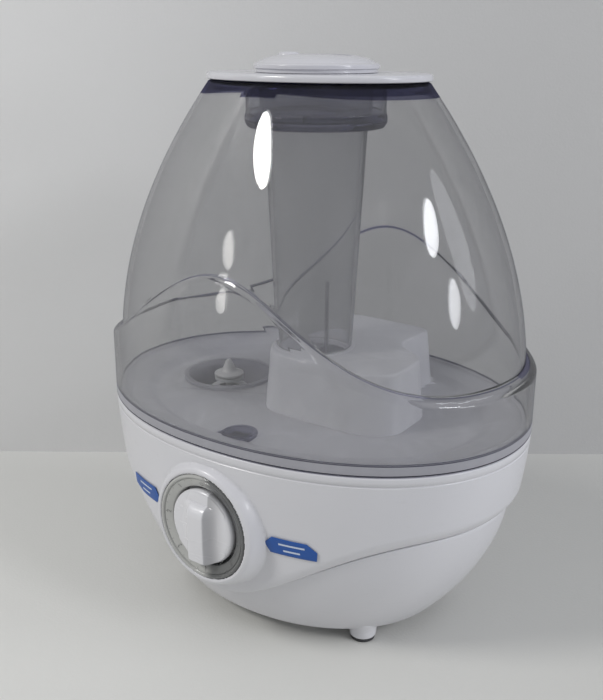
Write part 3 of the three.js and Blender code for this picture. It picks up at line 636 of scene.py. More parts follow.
def shoulder_z(angles):
    return SHOULDER_LOW_Z + (SHOULDER_HIGH_Z - SHOULDER_LOW_Z) * arch(angles)


def shoulder_width(z):
    rise = (z - SHOULDER_LOW_Z) / (SHOULDER_HIGH_Z - SHOULDER_LOW_Z)
    proud = np.minimum(HALF_WIDTH, egg_width(z) + np.maximum(0.9, 4.8 * (1 - rise ** 2)))
    return np.where(z < SHOULDER_LOW_Z, HALF_WIDTH, proud)


def parting_z(angles):
    return PARTING_HIGH_Z - (PARTING_HIGH_Z - PARTING_LOW_Z) * arch(angles)


def band_width(z):
    return HALF_WIDTH - 0.06 * (JOINT_Z - z) - 0.0018 * (JOINT_Z - z) ** 2


def bowl_width(z):
    return 98 * (1 - 0.3 * ((70 - np.minimum(z, 70)) / 63) ** 2)


# -------- tank
def tank_skin(inset, top_z):
    """Rings up one side of the tank wall: band, rounded ledge along the shoulder wave, then the egg."""
    angles = even_angles(BODY_STEPS)
    shoulder = shoulder_z(angles)
    step = shoulder_width(shoulder) - egg_width(shoulder)

    def ring(width, z):
        return oval(width - inset, width * DEPTH_RATIO - inset, z, angles)

    rings = []
    band_top = shoulder - 2.6
    for z in (TANK_LOW_Z, TANK_LOW_Z + 0.45, FLOOR_RIM_Z - 0.1, FLOOR_RIM_Z + 0.35):
        rings.append(ring(shoulder_width(z), np.full(BODY_STEPS, z)))
    for t in np.linspace(0, 1, 14)[1:]:
        z = FLOOR_RIM_Z + 0.35 + (band_top - FLOOR_RIM_Z - 0.35) * t
        rings.append(ring(shoulder_width(z), z))
    for t in np.linspace(0.1, 1, 12):
        share = (1 - t) ** 3 + 3 * t * (1 - t) ** 2 + 3 * t * t * (1 - t) * 0.3
        lift = 3 * t * (1 - t) ** 2 * 2.9 + 3 * t * t * (1 - t) * 2.7 + t ** 3 * 4.2
        z = band_top + lift
        rings.append(ring(egg_width(z) + step * share, z))
    for t in np.linspace(0, 1, 44)[1:]:
        z = shoulder + 1.6 + (top_z - shoulder - 1.6) * t
        rings.append(ring(egg_width(z), z))
    return rings


def tank_shell():
    """Smoke-clear egg-shaped tank wall with its roof, open below."""
    roof = 2.4
    angles = even_angles(BODY_STEPS)
    outer = tank_skin(0, TANK_TOP_Z - 0.6)
    inner = tank_skin(CLEAR_WALL, TANK_TOP_Z - roof)
    top = egg_width(TANK_TOP_Z)
    roof_rings = [oval(top - inset, top * DEPTH_RATIO - inset, z, angles) for inset, z in (
        (0.3, TANK_TOP_Z - 0.2), (0.9, TANK_TOP_Z),
    )]
    hole = CUP_RADIUS + 0.6
    lip = [circle(hole, z, BODY_STEPS) for z in (TANK_TOP_Z, TANK_TOP_Z - roof)]
    shell = loft("tank_shell_look", outer + roof_rings + lip + inner[::-1], sleeve=True)

    # painted shade: a dark strip along the ledge, wider on the back half
    def ledge_shade_strip(x, y, z):
        turn = math.atan2(math.copysign(abs(y / DEPTH_RATIO) ** (OVAL_POWER / 2), y),
                          math.copysign(abs(x) ** (OVAL_POWER / 2), x))
        rise = z - shoulder_z(turn)
        return 0.55 < rise < 1.5 if y > 5 else 0.9 < rise < 1.2

    paint_faces(shell, "smoke", [
        # top rim: dark tint, partly painted shade from the gap under the plate
        ("rim", lambda x, y, z: z > TANK_TOP_Z - 5.0),
        ("ledge", ledge_shade_strip),
        ("frost", lambda x, y, z: z < FLOOR_RIM_Z),
        ("seam", lambda x, y, z: z < TANK_LOW_Z + 0.45 or FLOOR_RIM_Z - 0.1 < z < FLOOR_RIM_Z + 0.35),
    ])
    return show(shell, "tank", "smoke", "smoke_clear", "tank_shell", sharp=40)


def inside_plan(plan, x, y):
    """True if (x, y) lies inside the closed outline."""
    ahead = np.roll(plan, -1, axis=0)
    crosses = (plan[:, 1] > y) != (ahead[:, 1] > y)
    slope = (ahead[:, 0] - plan[:, 0]) / np.where(crosses, ahead[:, 1] - plan[:, 1], 1)
    return np.count_nonzero(crosses & (x < plan[:, 0] + slope * (y - plan[:, 1]))) % 2 == 1


def tank_tray():
    """The tank's clear floor: rim, stepped dish, hollow block, neck, and a blister for the float."""
    angles = even_angles(240)
    rim = HALF_WIDTH - CLEAR_WALL - 0.3
    under = FLOOR_TOP_Z - 2

    def ring(half, z):
        return oval(half, half * DEPTH_RATIO - (0.5 if half > 90 else 0), z, angles)

    edge, floor = FLOOR_RIM_Z, FLOOR_TOP_Z
    profile = [
        (70, under), (80, under), (83.5, under + 0.5), (87, under + 2.4), (94, under + 3.6),
        (99, edge - 2.6), (rim, edge - 2.2), (rim, edge - 0.3), (rim - 0.3, edge), (100.2, edge),
        (99.6, edge - 0.5), (97, edge - 1.1), (93, edge - 1.8), (88.5, edge - 2.5), (87, edge - 3.0),
        (84.0, floor + 0.7), (82.2, floor + 0.15), (80, floor), (70, floor),
    ]
    tray = loft("tank_tray_look", [ring(half, z) for half, z in profile])
    block = BLOCK_TOP_Z
    seat = [(0, block - 1), (19.6, block - 1), (19.0, block + 0.2), (0, block + 0.2)]
    blister = [(0, under), (7.8, under), (7.6, floor + 0.9), (6.8, floor + 1.3), (0, floor + 1.3)]
    join(
        tray,
        tower("block", under, BLOCK_TOP_Z, 0, BLOCK_DRAFT, edge=1.2),
        turned("tube_seat", seat, 0, 0, 0.3),
        drum("neck", NECK_RADIUS, NECK_LOW_Z, floor + 1.5, CAP_X, rounding=0.6),
        turned("blister", blister, 0, FLOAT_Y, 0.5),
    )
    bore = NECK_RADIUS - 2.2
    cut(
        tray,
        drum("bore", bore, 70, 110, CAP_X),
        turned("dimple", [(0, floor + 0.5), (5.4, floor + 0.5), (6.2, 100), (0, 100)], 0, FLOAT_Y, 0),
        tower("hollow", under - 1, BLOCK_TOP_Z - 2, -2, BLOCK_DRAFT, edge=0.6, radius=7),
        drum("mist_hole", 15.2, 110, 130),
    )
    plan = rounded_plan(BLOCK_CORNERS, 0.6, 8.0)

    def on_rim(x, y, z):
        reach = abs(x / rim) ** OVAL_POWER + abs(y / rim / DEPTH_RATIO) ** OVAL_POWER
        return z > FLOOR_RIM_Z - 2.5 and reach > 0.975

    paint_faces(tray, "tray", [
        ("block", lambda x, y, z: inside_plan(plan, x, y)),
        ("neck", lambda x, y, z: math.hypot(x - CAP_X, y) < NECK_RADIUS + 0.4),
        ("cup_foot", lambda x, y, z: math.hypot(x, y - FLOAT_Y) < 7.9),
        ("frost", on_rim),
    ])
    return show(tray, "tank", "tray", "smoke_clear", "tank_floor")


def mist_tube():
    """The tapered mist tube with two moulded ribs near its foot."""
    low, high = BLOCK_TOP_Z + 0.3, CUP_LOW_Z - 0.3
    tube = turned("mist_tube_look", [(15.8, low), (17.6, low), (22.6, high), (20.8, high)], 0, 0, 0.5, 128)
    for turn in (-38, -35.5):
        rib = brick("rib", (17.3, -0.22, low + 2), (19.2, 0.22, low + 34))
        swing(rib, (0, CENTRE_Y, 0), turn)
        gather(tube, rib)
    return show(tube, "tank", "tube", "smoke_clear", "mist_tube")


def nozzle_cup():
    """The cup under the roof that holds the nozzle, with a thicker foot."""
    low, top, wide = CUP_LOW_Z, TANK_TOP_Z - 0.3, CUP_RADIUS
    cup = turned("nozzle_cup_look", [
        (18, low), (wide - 1.5, low), (wide, low + 2.2), (wide, low + 5), (wide - 0.5, low + 6),
        (wide - 0.5, top - 3), (wide, top - 2), (wide, top), (wide - 1.8, top), (wide - 1.8, low + 3),
        (18, low + 3),
    ], 0, 0, 0.5, 128)
    paint_faces(cup, "cup", [("cup_foot", lambda x, y, z: z < CUP_LOW_Z + 6)])
    return show(cup, "tank", "cup", "smoke_clear", "nozzle_cup")


def top_plate():
    """White oval plate on the tank's roof, with a softened rim."""
    angles = even_angles(PLATE_STEPS)

    def rim(inset, z):
        return oval(52.3 - inset, 39.3 - inset, z, angles)

    def hole(radius, z):
        return circle(radius, z, PLATE_STEPS)

    rings = [rim(0.5, PLATE_LOW_Z), rim(0.1, PLATE_LOW_Z + 0.3), rim(0, PLATE_LOW_Z + 0.9)]
    for turn in np.radians([15, 35, 55, 75, 90]):
        rings.append(rim(1.3 * (1 - math.cos(turn)), PLATE_TOP_Z - 1.3 * (1 - math.sin(turn))))
    rings += [
        rim(6, PLATE_TOP_Z), hole(NOZZLE_HOLE + 0.4, PLATE_TOP_Z),
        hole(NOZZLE_HOLE, PLATE_TOP_Z - 0.4), hole(NOZZLE_HOLE, PLATE_LOW_Z),
    ]
    plate = loft("top_plate_look", rings, sleeve=True)
    return show(plate, "tank", "gloss_white", "white_plastic", "top_plate")


# -------- nozzle
def nozzle_insert():
    """The clear bowl that lifts out of the tank top, with its two drain slots."""
    low = CUP_LOW_Z + 3.3
    outer = NOZZLE_HOLE - 0.6
    insert = turned("nozzle_insert_look", [
        (12, low), (outer, low), (outer, PLATE_TOP_Z), (outer - 1.8, PLATE_TOP_Z), (outer - 1.8, low + 2),
        (12, low + 2),
    ], 0, 0, 0.4, 128)
    for side in (-1, 1):
        reach = sorted((side * 14, side * 20))
        cut(insert, brick("slot", (-8, reach[0], low - 1), (8, reach[1], low + 3)))
    return show(insert, "insert", "cup", "smoke_clear", "nozzle_insert")


def nozzle_cap():
    """The white turning nozzle: neck, flange, dome, finger lump and the slot that lets mist out."""
    z = NOZZLE_LOW_Z
    cap = turned("nozzle_cap_look", [
        (19, z - 6), (21, z - 6), (21, z - 0.15), (26.4, z - 0.15), (26.3, z + 1.3), (27.2, z + 1.5),
        (27.2, z + 3.1), (26.6, z + 3.5), (25.5, z + 3.8), (24.2, z + 4.6), (22.4, z + 5.4), (20, z + 6.1),
        (16.5, z + 6.8), (11, z + 7.2), (0, z + 7.3), (0, z + 5.3), (17, z + 5.0), (19, z + 3.5),
    ], 0, 0, 0.25, 160)
    top = NOZZLE_TOP_Z
    join(cap, turned("lump", [
        (0, top - 2), (4.9, top - 2), (4.5, top - 0.6), (3.2, top), (0, top),
    ], -13.5, -2, 0.5, 48))
    half, deep, high = 4.2, top - 9, top + 3
    mouth_ends = (-3, 13)
    mouth = brick("mouth", (mouth_ends[0], -half, deep), (mouth_ends[1], half, high))
    for end in mouth_ends:
        join(mouth, drum("end", half, deep, high, end, steps=48))
    return show(cut(cap, mouth), "nozzle", "gloss_white", "white_plastic", "nozzle_cap")


# -------- white housing
def front_heavy_angles():
    """Angles round the oval, packed closely across the front where the dial boss stands."""
    front = np.radians(np.linspace(247, 293, 150))
    rest = np.radians(np.linspace(293, 607, 250))[1:-1]
    return np.concatenate([front, rest])


def boss_plane(distance):
    """How far forward, as y, the boss stands at a distance from the dial's axis."""
    flat_radius, slope_width, front, drop = 25.4, 4.6, 80.7, 9.5
    t = np.clip((distance - flat_radius) / slope_width, 0, 1)
    return -(front - drop * t * t * (1.6 - 0.6 * t))


def upper_housing():
    """The band that overhangs the bowl, with its groove under the joint and the raised dial boss."""
    angles = front_heavy_angles()
    low = parting_z(angles) + 0.3

    def ring(z, inset=0.0):
        tuck = np.maximum(0, 1 - (z - parting_z(angles)) / 7) ** 2
        width = band_width(z) - 3.4 * tuck * (1 - 0.6 * arch(angles))
        return oval(width - inset, width * depth_ratio(z) - inset, z, angles)

    rings = []
    for turn in np.radians([0, 30, 60]):
        rings.append(ring(low + 1.2 * (1 - math.cos(turn)), 1.2 * (1 - math.sin(turn))))
    top = DECK_TOP_Z - 1.4
    for t in np.linspace(0, 1, 92) ** 0.85:
        z = low + 1.0 + (top - low - 1.0) * t
        rings.append(ring(z))
    groove = [(0.5, 0), (0.75, 0.3), (1.0, 0.36), (1.25, 0.3), (1.5, 0)]
    for rise, dip in groove + [(3.0, 0), (4.2, 0), (4.8, 0.1), (5.0, 0.35), (5.1, 0.7)]:
        rings.append(ring(top + rise, dip))
    for p in rings:
        distance = np.hypot(p[:, 0], p[:, 2] - DIAL_Z)
        forward = boss_plane(distance)
        near = (p[:, 1] < 0) & (distance < BOSS_REACH)
        gap = p[:, 1] - forward
        soft = 1.6
        blended = 0.5 * (p[:, 1] + forward - np.sqrt(gap ** 2 + soft ** 2))
        blended = blended + 0.5 * soft * np.exp(-np.abs(gap) / soft)
        fade = np.clip((BOSS_REACH - distance) / 5, 0, 1)
        p[:, 1] = np.where(near, p[:, 1] + (np.minimum(blended, p[:, 1]) - p[:, 1]) * fade, p[:, 1])
    inner = [ring(JOINT_Z, WHITE_WALL), ring((low + JOINT_Z) / 2, WHITE_WALL), ring(low, WHITE_WALL)]

    def in_recess(p):
        return p[1] < 0 and math.hypot(p[0], p[2] - DIAL_Z) < DIAL_RADIUS + 0.7

    housing = loft("upper_housing_look", rings + inner, sleeve=True, skip=in_recess)
    lip = dial_turned("lip", [
        (24.0, 9.6), (24.0, 0.4), (24.6, 0.15), (25.2, 0.25), (26.0, 0.75), (26.0, 2.0), (25.0, 9.6),
    ], 0.25, 144)
    back = dial_turned("recess_back", [(4.6, 9.7), (24.6, 9.7), (24.6, 11), (4.6, 11)], 0.2)
    gather(housing, lip, back)
    return show(housing, "base", "white", "white_plastic", "upper_housing", sharp=50)


def lower_bowl():
    """The rounded bowl under the parting line, with its feet, fan grille and screw recesses."""
    angles = even_angles(BODY_STEPS)
    top = parting_z(angles) - 0.3

    def ring(z, inset=0.0):
        width = bowl_width(z)
        return oval(width - inset, width * depth_ratio(z) - inset, z, angles)

    rings = [ring(np.full(BODY_STEPS, FOOT_HEIGHT), 3.0), ring(np.full(BODY_STEPS, FOOT_HEIGHT), 1.6)]
    for turn in np.radians([20, 45, 70]):
        rings.append(ring(FOOT_HEIGHT + 1.6 * (1 - math.cos(turn)), 1.6 * (1 - math.sin(turn))))
    for t in np.linspace(0, 1, 40):
        rings.append(ring(FOOT_HEIGHT + 1.5 + (top - FOOT_HEIGHT - 2.2) * t))
    rings += [ring(top - 0.2, 0.25), ring(top, 0.8)]
    inner = [ring(FOOT_HEIGHT + WHITE_WALL + (top - FOOT_HEIGHT - WHITE_WALL) * t, WHITE_WALL)
             for t in (1, 0.6, 0.3, 0)]
    bowl = loft("lower_bowl_look", rings + inner)
    for x, y in FOOT_PLACES:
        join(bowl, turned("foot", [
            (0, PAD_HEIGHT + 0.3), (5.9, PAD_HEIGHT + 0.3), (6.1, 3.2), (6.4, 5.5), (6.9, 7.5),
            (7.8, 10.0), (0, 10.0),
        ], x, y, 0.6, 64))
    for row in range(-3, 4):
        x = FAN[0] + row * 5
        reach = 17 - abs(row) * 1.5
        cut(bowl, brick("slot", (x - 1.3, FAN[1] - reach, 0), (x + 1.3, FAN[1] + reach, 20)))
    for x, y in POST_PLACES:
        cut(bowl, turned("screw_hole", [
            (0, 0), (3.7, 0), (3.7, FOOT_HEIGHT + 1.2), (2, FOOT_HEIGHT + 1.2), (2, 20), (0, 20),
        ], x, y, 0, 48))
    gland = turned("gland_boss", [(6.3, 52), (9.5, 52), (9.5, 63.5), (6.3, 63.5)], 0, 0, 0.5, 64)
    hole = drum("gland_hole", 6.2, 40, 90, steps=64)
    for tool in (gland, hole):
        swing(tool, (GLAND_X, CENTRE_Y, GLAND_Z), -90, "X")
    cut(bowl, hole)
    gather(bowl, gland)
    return show(bowl, "base", "white", "white_plastic", "lower_bowl")


def foot_pads():
    names = ("front_right", "front_left", "rear_right", "rear_left")
    for name, (x, y) in zip(names, FOOT_PLACES):
        pad = drum(f"foot_pad_look_{name}", 5.5, 0, PAD_HEIGHT, x, y, 0.45, 64)
        show(pad, "base", "rubber", "rubber", f"foot_pad_{name}")


# -------- dial
def dial_ring():
    """Grey glossy ring: outer bead, fine groove, and a face that slopes in towards the knob."""
    ring = dial_turned("dial_ring_look", [
        (17.4, 9.3), (DIAL_RADIUS, 9.3), (DIAL_RADIUS, 0.7), (23.4, 0.15), (22.7, 0.0), (22.1, 0.35),
        (21.95, 1.0), (21.75, 1.0), (21.5, 0.75), (18.2, 1.9), (17.8, 2.6), (17.4, 5),
    ], 0.18, 144)
    return show(ring, "base", "dial", "dial_grey", "dial_ring", sharp=50)


def stroke(name, lines, width, turn, radius, depth):
    """Flat ink strokes on the dial's sloping face, drawn as ribbons about a point on the ring."""
    points, faces = [], []
    for line in lines:
        line = [np.array(p, float) for p in line]
        start = len(points)
        for i, p in enumerate(line):
            ahead = line[min(i + 1, len(line) - 1)] - line[max(i - 1, 0)]
            side = np.array([-ahead[1], ahead[0]]) / np.linalg.norm(ahead) * width / 2
            points += [p + side, p - side]
        for k in range(start, start + 2 * len(line) - 2, 2):
            faces.append((k, k + 1, k + 3, k + 2))
    angle = math.radians(turn)
    placed = []
    for x, z in points:
        out = radius + z
        px = -out * math.sin(angle) + x * math.cos(angle)
        pz = out * math.cos(angle) + x * math.sin(angle)
        reach = math.hypot(px, pz)
        placed.append((px, DIAL_FACE_Y + 0.75 + (21.5 - reach) * 1.15 / 3.3 - depth, DIAL_Z + pz))
    return solid(name, placed, faces)


def dial_marks():
    """Printed marks: an on symbol at rest, the steps 1 to 5 round the ring, and ticks."""
    digits = {
        1: [[(-0.35, 0.55), (0.0, 0.9), (0.0, -0.9)]],
        2: [[(-0.5, 0.5), (-0.25, 0.85), (0.25, 0.85), (0.5, 0.5), (0.35, 0.1), (-0.5, -0.9),
             (0.55, -0.9)]],
        3: [[(-0.5, 0.8), (0.1, 0.9), (0.5, 0.5), (0.0, 0.05), (0.5, -0.4), (0.1, -0.9), (-0.5, -0.8)]],
        4: [[(0.25, -0.9), (0.25, 0.9), (-0.55, -0.35), (0.6, -0.35)]],
        5: [[(0.5, 0.9), (-0.4, 0.9), (-0.45, 0.1), (0.2, 0.15), (0.5, -0.35), (0.1, -0.9), (-0.5, -0.75)]],
    }
    loop = [(0.85 * math.sin(a), 0.85 * math.cos(a)) for a in np.radians(np.linspace(40, 320, 24))]
    mark_radius, proud = 19.9, 0.04
    marks = [stroke("mark_on", [loop, [(0, 0.15), (0, 1.15)]], 0.22, 0, mark_radius, proud)]
    for digit, lines in digits.items():
        marks.append(stroke(f"mark_{digit}", lines, 0.24, 39 + 48 * (digit - 1), mark_radius, proud))
    for turn in np.arange(15, 280, 12.0):
        marks.append(stroke("tick", [[(0, -0.3), (0, 0.3)]], 0.14, turn, 21.05, proud))
    made = gather(*marks)
    made.name = "dial_marks"
    made.data.materials.clear()
    return show(made, "base", "mark", "dial_grey")


def knob():
    """White knob: softly domed disc with one broad grip, whose sides sweep out to the disc."""
    disc = dial_turned("knob_look", [
        (0, 7.8), (15.4, 7.8), (16.9, 2.0), (16.75, 1.0), (16.2, 0.4), (15.0, 0.0), (11, -0.25), (0, -0.4),
    ], 0.5, 144)
    rows, columns, reach = 97, 81, 13.2
    disc_radius, grip_half, grip_height = 16.2, 4.3, 3.95
    points, faces = [], []
    for i in range(rows):
        z = -15.7 + 31.4 * i / (rows - 1)
        top_end = np.clip((11.0 - z) / 5.0, 0, 1)
        low_end = np.clip((z + disc_radius) / 1.6, 0, 1)
        tall = grip_height * math.sqrt(top_end * (2 - top_end)) * math.sqrt(low_end * (2 - low_end))
        side = min(reach, math.sqrt(max(0.4, disc_radius ** 2 - z * z)))
        for j in range(columns):
            x = -side + 2 * side * j / (columns - 1)
            out = max(0.0, abs(x) - grip_half)
            sweep = max(0.0, 1 - out / 6.5) ** 2.6
            crown = 1 - 0.05 * (min(abs(x), grip_half) / grip_half) ** 4
            skin = 0.45 * (1 - (math.hypot(x, z) / 16.6) ** 4)
            points.append((x, DIAL_FACE_Y - skin - tall * sweep * crown + 0.2, DIAL_Z + z))
    for i in range(rows - 1):
        for j in range(columns - 1):
            a = i * columns + j
            faces.append((a, a + 1, a + columns + 1, a + columns))
    gather(disc, solid("grip", points, faces))
    return show(disc, "dial_knob", "knob", "white_plastic", "knob", sharp=60)


# -------- labels
def surface_point(x, z, proud):
    half = band_width(z)
    half_y = half * depth_ratio(z)
    y = -(half_y + proud) * (1 - (abs(x) / (half + proud)) ** OVAL_POWER) ** (1 / OVAL_POWER)
    return (x, y, z)


def label(name, outline, replaced, bars, bars_at):
    """A thin printed label bent to the housing, with two plain bars in place of its words."""
    centre = np.mean(outline, axis=0)
    edge = []
    for i, here in enumerate(outline):
        there = outline[(i + 1) % len(outline)]
        edge += [np.array(here) + (np.array(there) - here) * t for t in np.linspace(0, 1, 9)[:-1]]
    rings = []
    for share, proud in ((1.0, 0.40), (1.0, 0.62), (0.985, 0.66), (0.7, 0.66), (0.35, 0.66), (0.02, 0.66)):
        rings.append([surface_point(*(centre + (p - centre) * share), proud) for p in edge])
    sticker = loft(name, [np.array(r) for r in rings])
    show(sticker, "base", "label", "label_blue", replaced, sharp=60)
    strips = []
    steps, bar_half, bar_proud = 14, 0.42, 0.72
    middle_x, middle_z, slope = bars_at
    for length, drop in bars:
        points = []
        for i in range(steps + 1):
            x = middle_x - length / 2 + length * i / steps
            z = middle_z - drop + slope * (x - middle_x)
            points += [surface_point(x, z + rise, bar_proud) for rise in (-bar_half, bar_half)]
        faces = [(2 * i, 2 * i + 2, 2 * i + 3, 2 * i + 1) for i in range(steps)]
        strips.append(solid(f"{name}_bar", points, faces))
    made = gather(*strips)
    made.name = f"{name}_bars"
    return show(made, "base", "label_bar", "label_blue")


def labels():
    bars = [(11, -1.2), (7, 1.6)]
    label("label_right_look", [
        (28.6, 59.6), (32.0, 62.9), (46.8, 62.2), (50.8, 58.7), (50.4, 54.6), (31.2, 55.4),
    ], "label_right", bars, (40.5, 58.8, -0.03))
    label("label_left_look", [
        (-55.6, 64.2), (-35.6, 64.8), (-32.8, 60.4), (-35.4, 57.0), (-47.9, 57.0), (-55.6, 59.1),
    ], "label_left", bars, (-44.5, 61.0, 0.02))


# -------- cap and valve
def tank_cap():
    """White screw cap in the tank's neck: finger ribs outside and the valve hub inside."""
    cap = turned("tank_cap_look", [
        (8, CAP_LOW_Z), (26.2, CAP_LOW_Z), (26.2, 90.4), (23, 90.4), (23, 77), (10.4, 77), (9.4, HUB_TOP_Z),
        (5, HUB_TOP_Z), (5, HUB_TOP_Z - 2), (8, HUB_TOP_Z - 2),
    ], CAP_X, 0, 0.5)
    ribs = []
    rib_count = 48
    for i in range(rib_count):
        rib = brick("rib", (25.9, -0.35, CAP_LOW_Z + 1), (26.4, 0.35, 89.6))
        swing(rib, (CAP_X, CENTRE_Y, 0), 360 * i / rib_count)
        ribs.append(rib)
    gather(cap, *ribs)
    return show(cap, "cap", "inner_white", "white_plastic", "tank_cap")


def valve():
    """The plunger with its cone, and the closing spring drawn as a real coil."""
    foot, z = VALVE_FOOT_Z, VALVE_PLATE_Z
    plunger = turned("valve_plunger_look", [
        (0, foot), (6.8, foot), (6.8, foot + 1.2), (1.9, foot + 1.6), (1.9, z),
        (7.4, z), (7.4, z + 1.4), (4.2, z + 2.2), (3.2, z + 3.6), (1.5, z + 7.6), (0.7, z + 8.4),
        (0, z + 8.4),
    ], CAP_X, 0, 0.5, 64)
    show(plunger, "valve", "valve", "white_plastic", "valve_plunger")
    low, high = VALVE_FOOT_Z + 2.0, HUB_TOP_Z - 2.7
    turns, coil, wire, sides = 4.5, 6.6, 0.5, 10
    up = np.array([0, 0, 1])
    steps = int(turns * 32)
    rings = []
    for i in range(steps + 1):
        t = i / steps
        a = 2 * math.pi * turns * t
        centre = np.array([CAP_X + coil * math.cos(a), coil * math.sin(a), low + (high - low) * t])
        out = np.array([math.cos(a), math.sin(a), 0])
        rings.append([centre + wire * (math.cos(b) * out + math.sin(b) * up) for b in even_angles(sides)])
    spring = loft("valve_spring_look", [np.array(r) for r in rings])
    spring.data.shade_smooth()
    dress(spring.data, "steel")
    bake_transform(spring)
    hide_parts("valve_spring")


# -------- basin
def basin():
    """The white deck with its cap well, mist chamber, channel, float well, tower and air chimney."""
    half = band_width(DECK_TOP_Z) - WHITE_WALL - 0.3
    angles = even_angles(PLATE_STEPS)
    deck = loft("basin_look", [
        oval(half, half * DEPTH_RATIO - 0.7, z, angles) for z in (SLAB_LOW_Z, DECK_TOP_Z)
    ])
    wall = 2
    wells = [(CAP_X, 0, 29.5, 70), (*CHAMBER, 17, CHAMBER_Z), (0, FLOAT_Y, 8.2, 76)]
    join(deck, brick("channel", (CAP_X, -9, CHAMBER_Z + 2), (CHAMBER[0], 5, DECK_TOP_Z)))
    join(deck, tower("tower", DECK_TOP_Z - 1, TOWER_TOP_Z, -5, BLOCK_DRAFT * 0.8, edge=0.8))
    for x, y, radius, z in wells:
        join(deck, drum("well", radius + wall, z, DECK_TOP_Z, x, y))
    for x, y, radius, z in wells:
        cut(deck, drum("bore", radius, z + wall, DECK_TOP_Z + 40, x, y))
    cut(
        deck,
        brick("channel_cut", (CAP_X, -7, CHAMBER_Z + 4), (CHAMBER[0], 3, DECK_TOP_Z + 5)),
        tower("tower_cut", DECK_TOP_Z, TOWER_TOP_Z + 5, -7, BLOCK_DRAFT),
    )
    (x0, x1), (y0, y1) = DUCT
    join(deck, brick("chimney", (x0 - wall, y0 - wall, SLAB_LOW_Z), (x1 + wall, y1 + wall, 104)))
    cut(
        deck,
        brick("duct_cut", (x0, y0, SLAB_LOW_Z - 5), (x1, y1, TOWER_TOP_Z + 5)),
        drum("disc_hole", 9, CHAMBER_Z - 1, CHAMBER_Z + 3, *CHAMBER),
    )
    pin_top = VALVE_FOOT_Z - 0.3
    join(deck, turned("pin", [(0, 71), (3.4, 71), (2.6, pin_top), (0, pin_top)], CAP_X, 0, 0, 32))
    post_top = SLAB_LOW_Z + 0.5
    for x, y in POST_PLACES:
        post = [(1.5, 9.8), (4, 9.8), (4, post_top), (1.5, post_top)]
        gather(deck, turned("post", post, x, y, 0, 32))
    return show(
        deck, "base", "inner_white", "white_plastic", "basin", "mist_chamber", "mist_tower", "air_chimney",
    )


# -------- carried-over CAD parts
def finish_cad_parts():
    """Gives every CAD part that still shows its procedural material."""
    screws = [f"retainer_screw_{i}" for i in (1, 2, 3)]
    screws += [f"base_screw_{end}_{side}" for end in ("front", "rear") for side in ("right", "left")]
    groups = {
        "inner_white": ["air_duct", "float_retainer", "board_bracket"],
        "black": ["fan_housing", "fan_impeller", "transformer", "drive_transistor", "potentiometer",
                  "cord_gland", "level_switch"],
        "steel": ["fan_motor", "transducer_disc", "transducer_retainer", "knob_shaft", "float_magnet",
                  *screws],
        "board": ["main_board", "oscillator_board"],
        "aluminium": ["heat_sink"],
        "float": ["level_float"],
        "rubber": ["transducer_seal"],
        "pale_rubber": ["cap_gasket", "valve_seal"],
    }
    for material, names in groups.items():
        for name in names:
            dress(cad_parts[name].data, material)


# -------- setting
def sheet(name, corners, material):
    """One large flat stage piece."""
    mesh = bpy.data.meshes.new(name)
    mesh.from_pydata(corners, [], [(0, 1, 2, 3)])
    mesh.materials.append(material)
    made = link(bpy.data.objects.new(name, mesh))
    return made


def setting():
    """Pale table, and the pale wall 145 mm behind the body's axis. Seen from behind, the wall is
    clear, and it blocks no light, so the back of the object is lit and seen like its other sides."""
    reach, height = 3, 2.4
    # the third number of each paint, dim, sets how dark the painted shade on the right gets
    sheet("table", [(-reach, -reach, 0), (reach, -reach, 0), (reach, reach, 0), (-reach, reach, 0)],
          painted_surface("table_paint", (0.71, 0.71, 0.68), 0.81, 0.03, 0.5))
    paint = painted_surface("wall_paint", (0.72, 0.72, 0.715), 0.70, 0.02, 0.8)
    tree = paint.node_tree
    closing = [n for n in tree.nodes if n.type == "OUTPUT_MATERIAL"][0]
    front = closing.inputs["Surface"].links[0].from_socket
    behind = node(tree, "NewGeometry").outputs["Backfacing"]
    clear = node(tree, "BsdfTransparent").outputs[0]
    tree.links.new(node(tree, "MixShader", {0: behind, 1: front, 2: clear}).outputs[0],
                   closing.inputs["Surface"])
    turn, away = math.radians(36.65), 0.145
    along = Vector((math.cos(turn), math.sin(turn), 0)) * reach
    foot = Vector((-math.sin(turn), math.cos(turn), 0)) * away + Vector((0, CENTRE_Y * MM, 0))
    up = Vector((0, 0, height))
    wall = sheet("wall", [foot - along, foot + along, foot + along + up, foot - along + up], paint)
    wall.visible_shadow = False
    wall.visible_diffuse = False


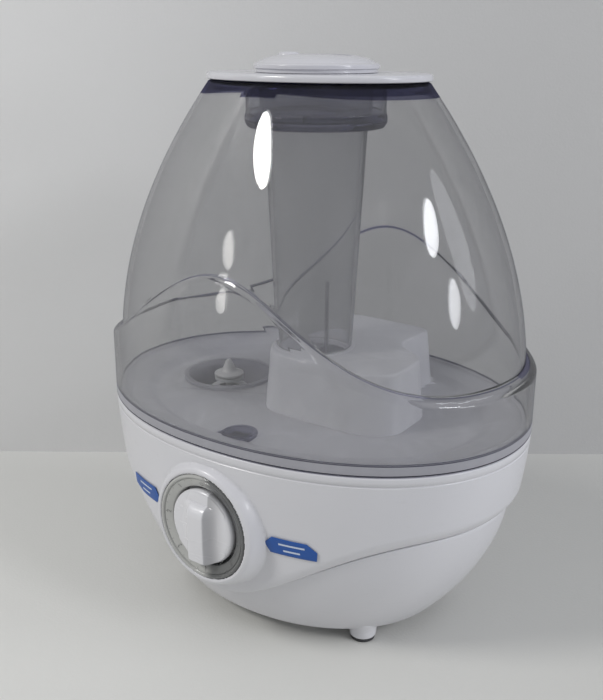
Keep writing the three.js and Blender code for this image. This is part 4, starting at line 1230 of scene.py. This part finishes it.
def lamp(name, azimuth, elevation, distance, size, power, colour=(1, 1, 1), tilt=0):
    """A soft oval lamp aimed at the tank; azimuth is measured from the front towards +X, and tilt
    turns the lamp about its own axis."""
    data = bpy.data.lights.new(name, "AREA")
    data.shape = "ELLIPSE"
    data.size, data.size_y = size
    data.energy = power
    data.color = colour
    obj = bpy.data.objects.new(name, data)
    a, e = math.radians(azimuth), math.radians(elevation)
    way = Vector((math.sin(a) * math.cos(e), -math.cos(a) * math.cos(e), math.sin(e)))
    aim = Vector((0, CENTRE_Y, 150)) * MM
    obj.location = aim + way * distance
    obj.rotation_mode = "QUATERNION"
    obj.rotation_quaternion = way.to_track_quat("Z", "Y") @ Quaternion((0, 0, 1), math.radians(tilt))
    return link(obj)


def lighting():
    """An oval lamp and a low twin on each side, a right side lamp without reflections, and fills."""
    lamp("left_lamp", -34.5, 36, 1.5, (0.46, 0.21), 9.6, (1, 0.985, 0.96), -39)
    lamp("left_low_lamp", -36.3, 13.8, 1.5, (0.22, 0.12), 0.45, (1, 0.98, 0.95), -60)
    lamp("right_lamp", 89, 30.3, 1.5, (0.46, 0.24), 4.2, (0.95, 0.96, 1.0), 37)
    lamp("right_low_lamp", 93.5, 10.5, 1.5, (0.36, 0.24), 2.0, (0.95, 0.96, 1.0), 59)
    side = lamp("right_side_lamp", 112, 22, 1.5, (0.5, 0.9), 5.0, (0.94, 0.95, 1.0))
    side.visible_glossy = False
    lamp("overhead_fill", 10, 86, 1.6, (1.6, 1.6), 1.4)
    world = bpy.data.worlds.new("air")
    bpy.context.scene.world = world
    world.use_nodes = True
    air = world.node_tree.nodes["Background"].inputs
    air["Color"].default_value = (0.93, 0.95, 1.0, 1)
    air["Strength"].default_value = 0.38


make_camera()
MATERIALS = build_materials()
for build in (
    tank_shell, tank_tray, mist_tube, nozzle_cup, top_plate, nozzle_insert, nozzle_cap, upper_housing,
    lower_bowl, foot_pads, dial_ring, dial_marks, knob, labels, tank_cap, valve, basin,
    finish_cad_parts, setting, lighting,
):
    build()
bpy.context.scene.view_settings.view_transform = "Standard"
paths = bpy.context.scene.cycles
paths.max_bounces = LIGHT_BOUNCES
paths.transmission_bounces = LIGHT_BOUNCES
paths.transparent_max_bounces = 2 * LIGHT_BOUNCES
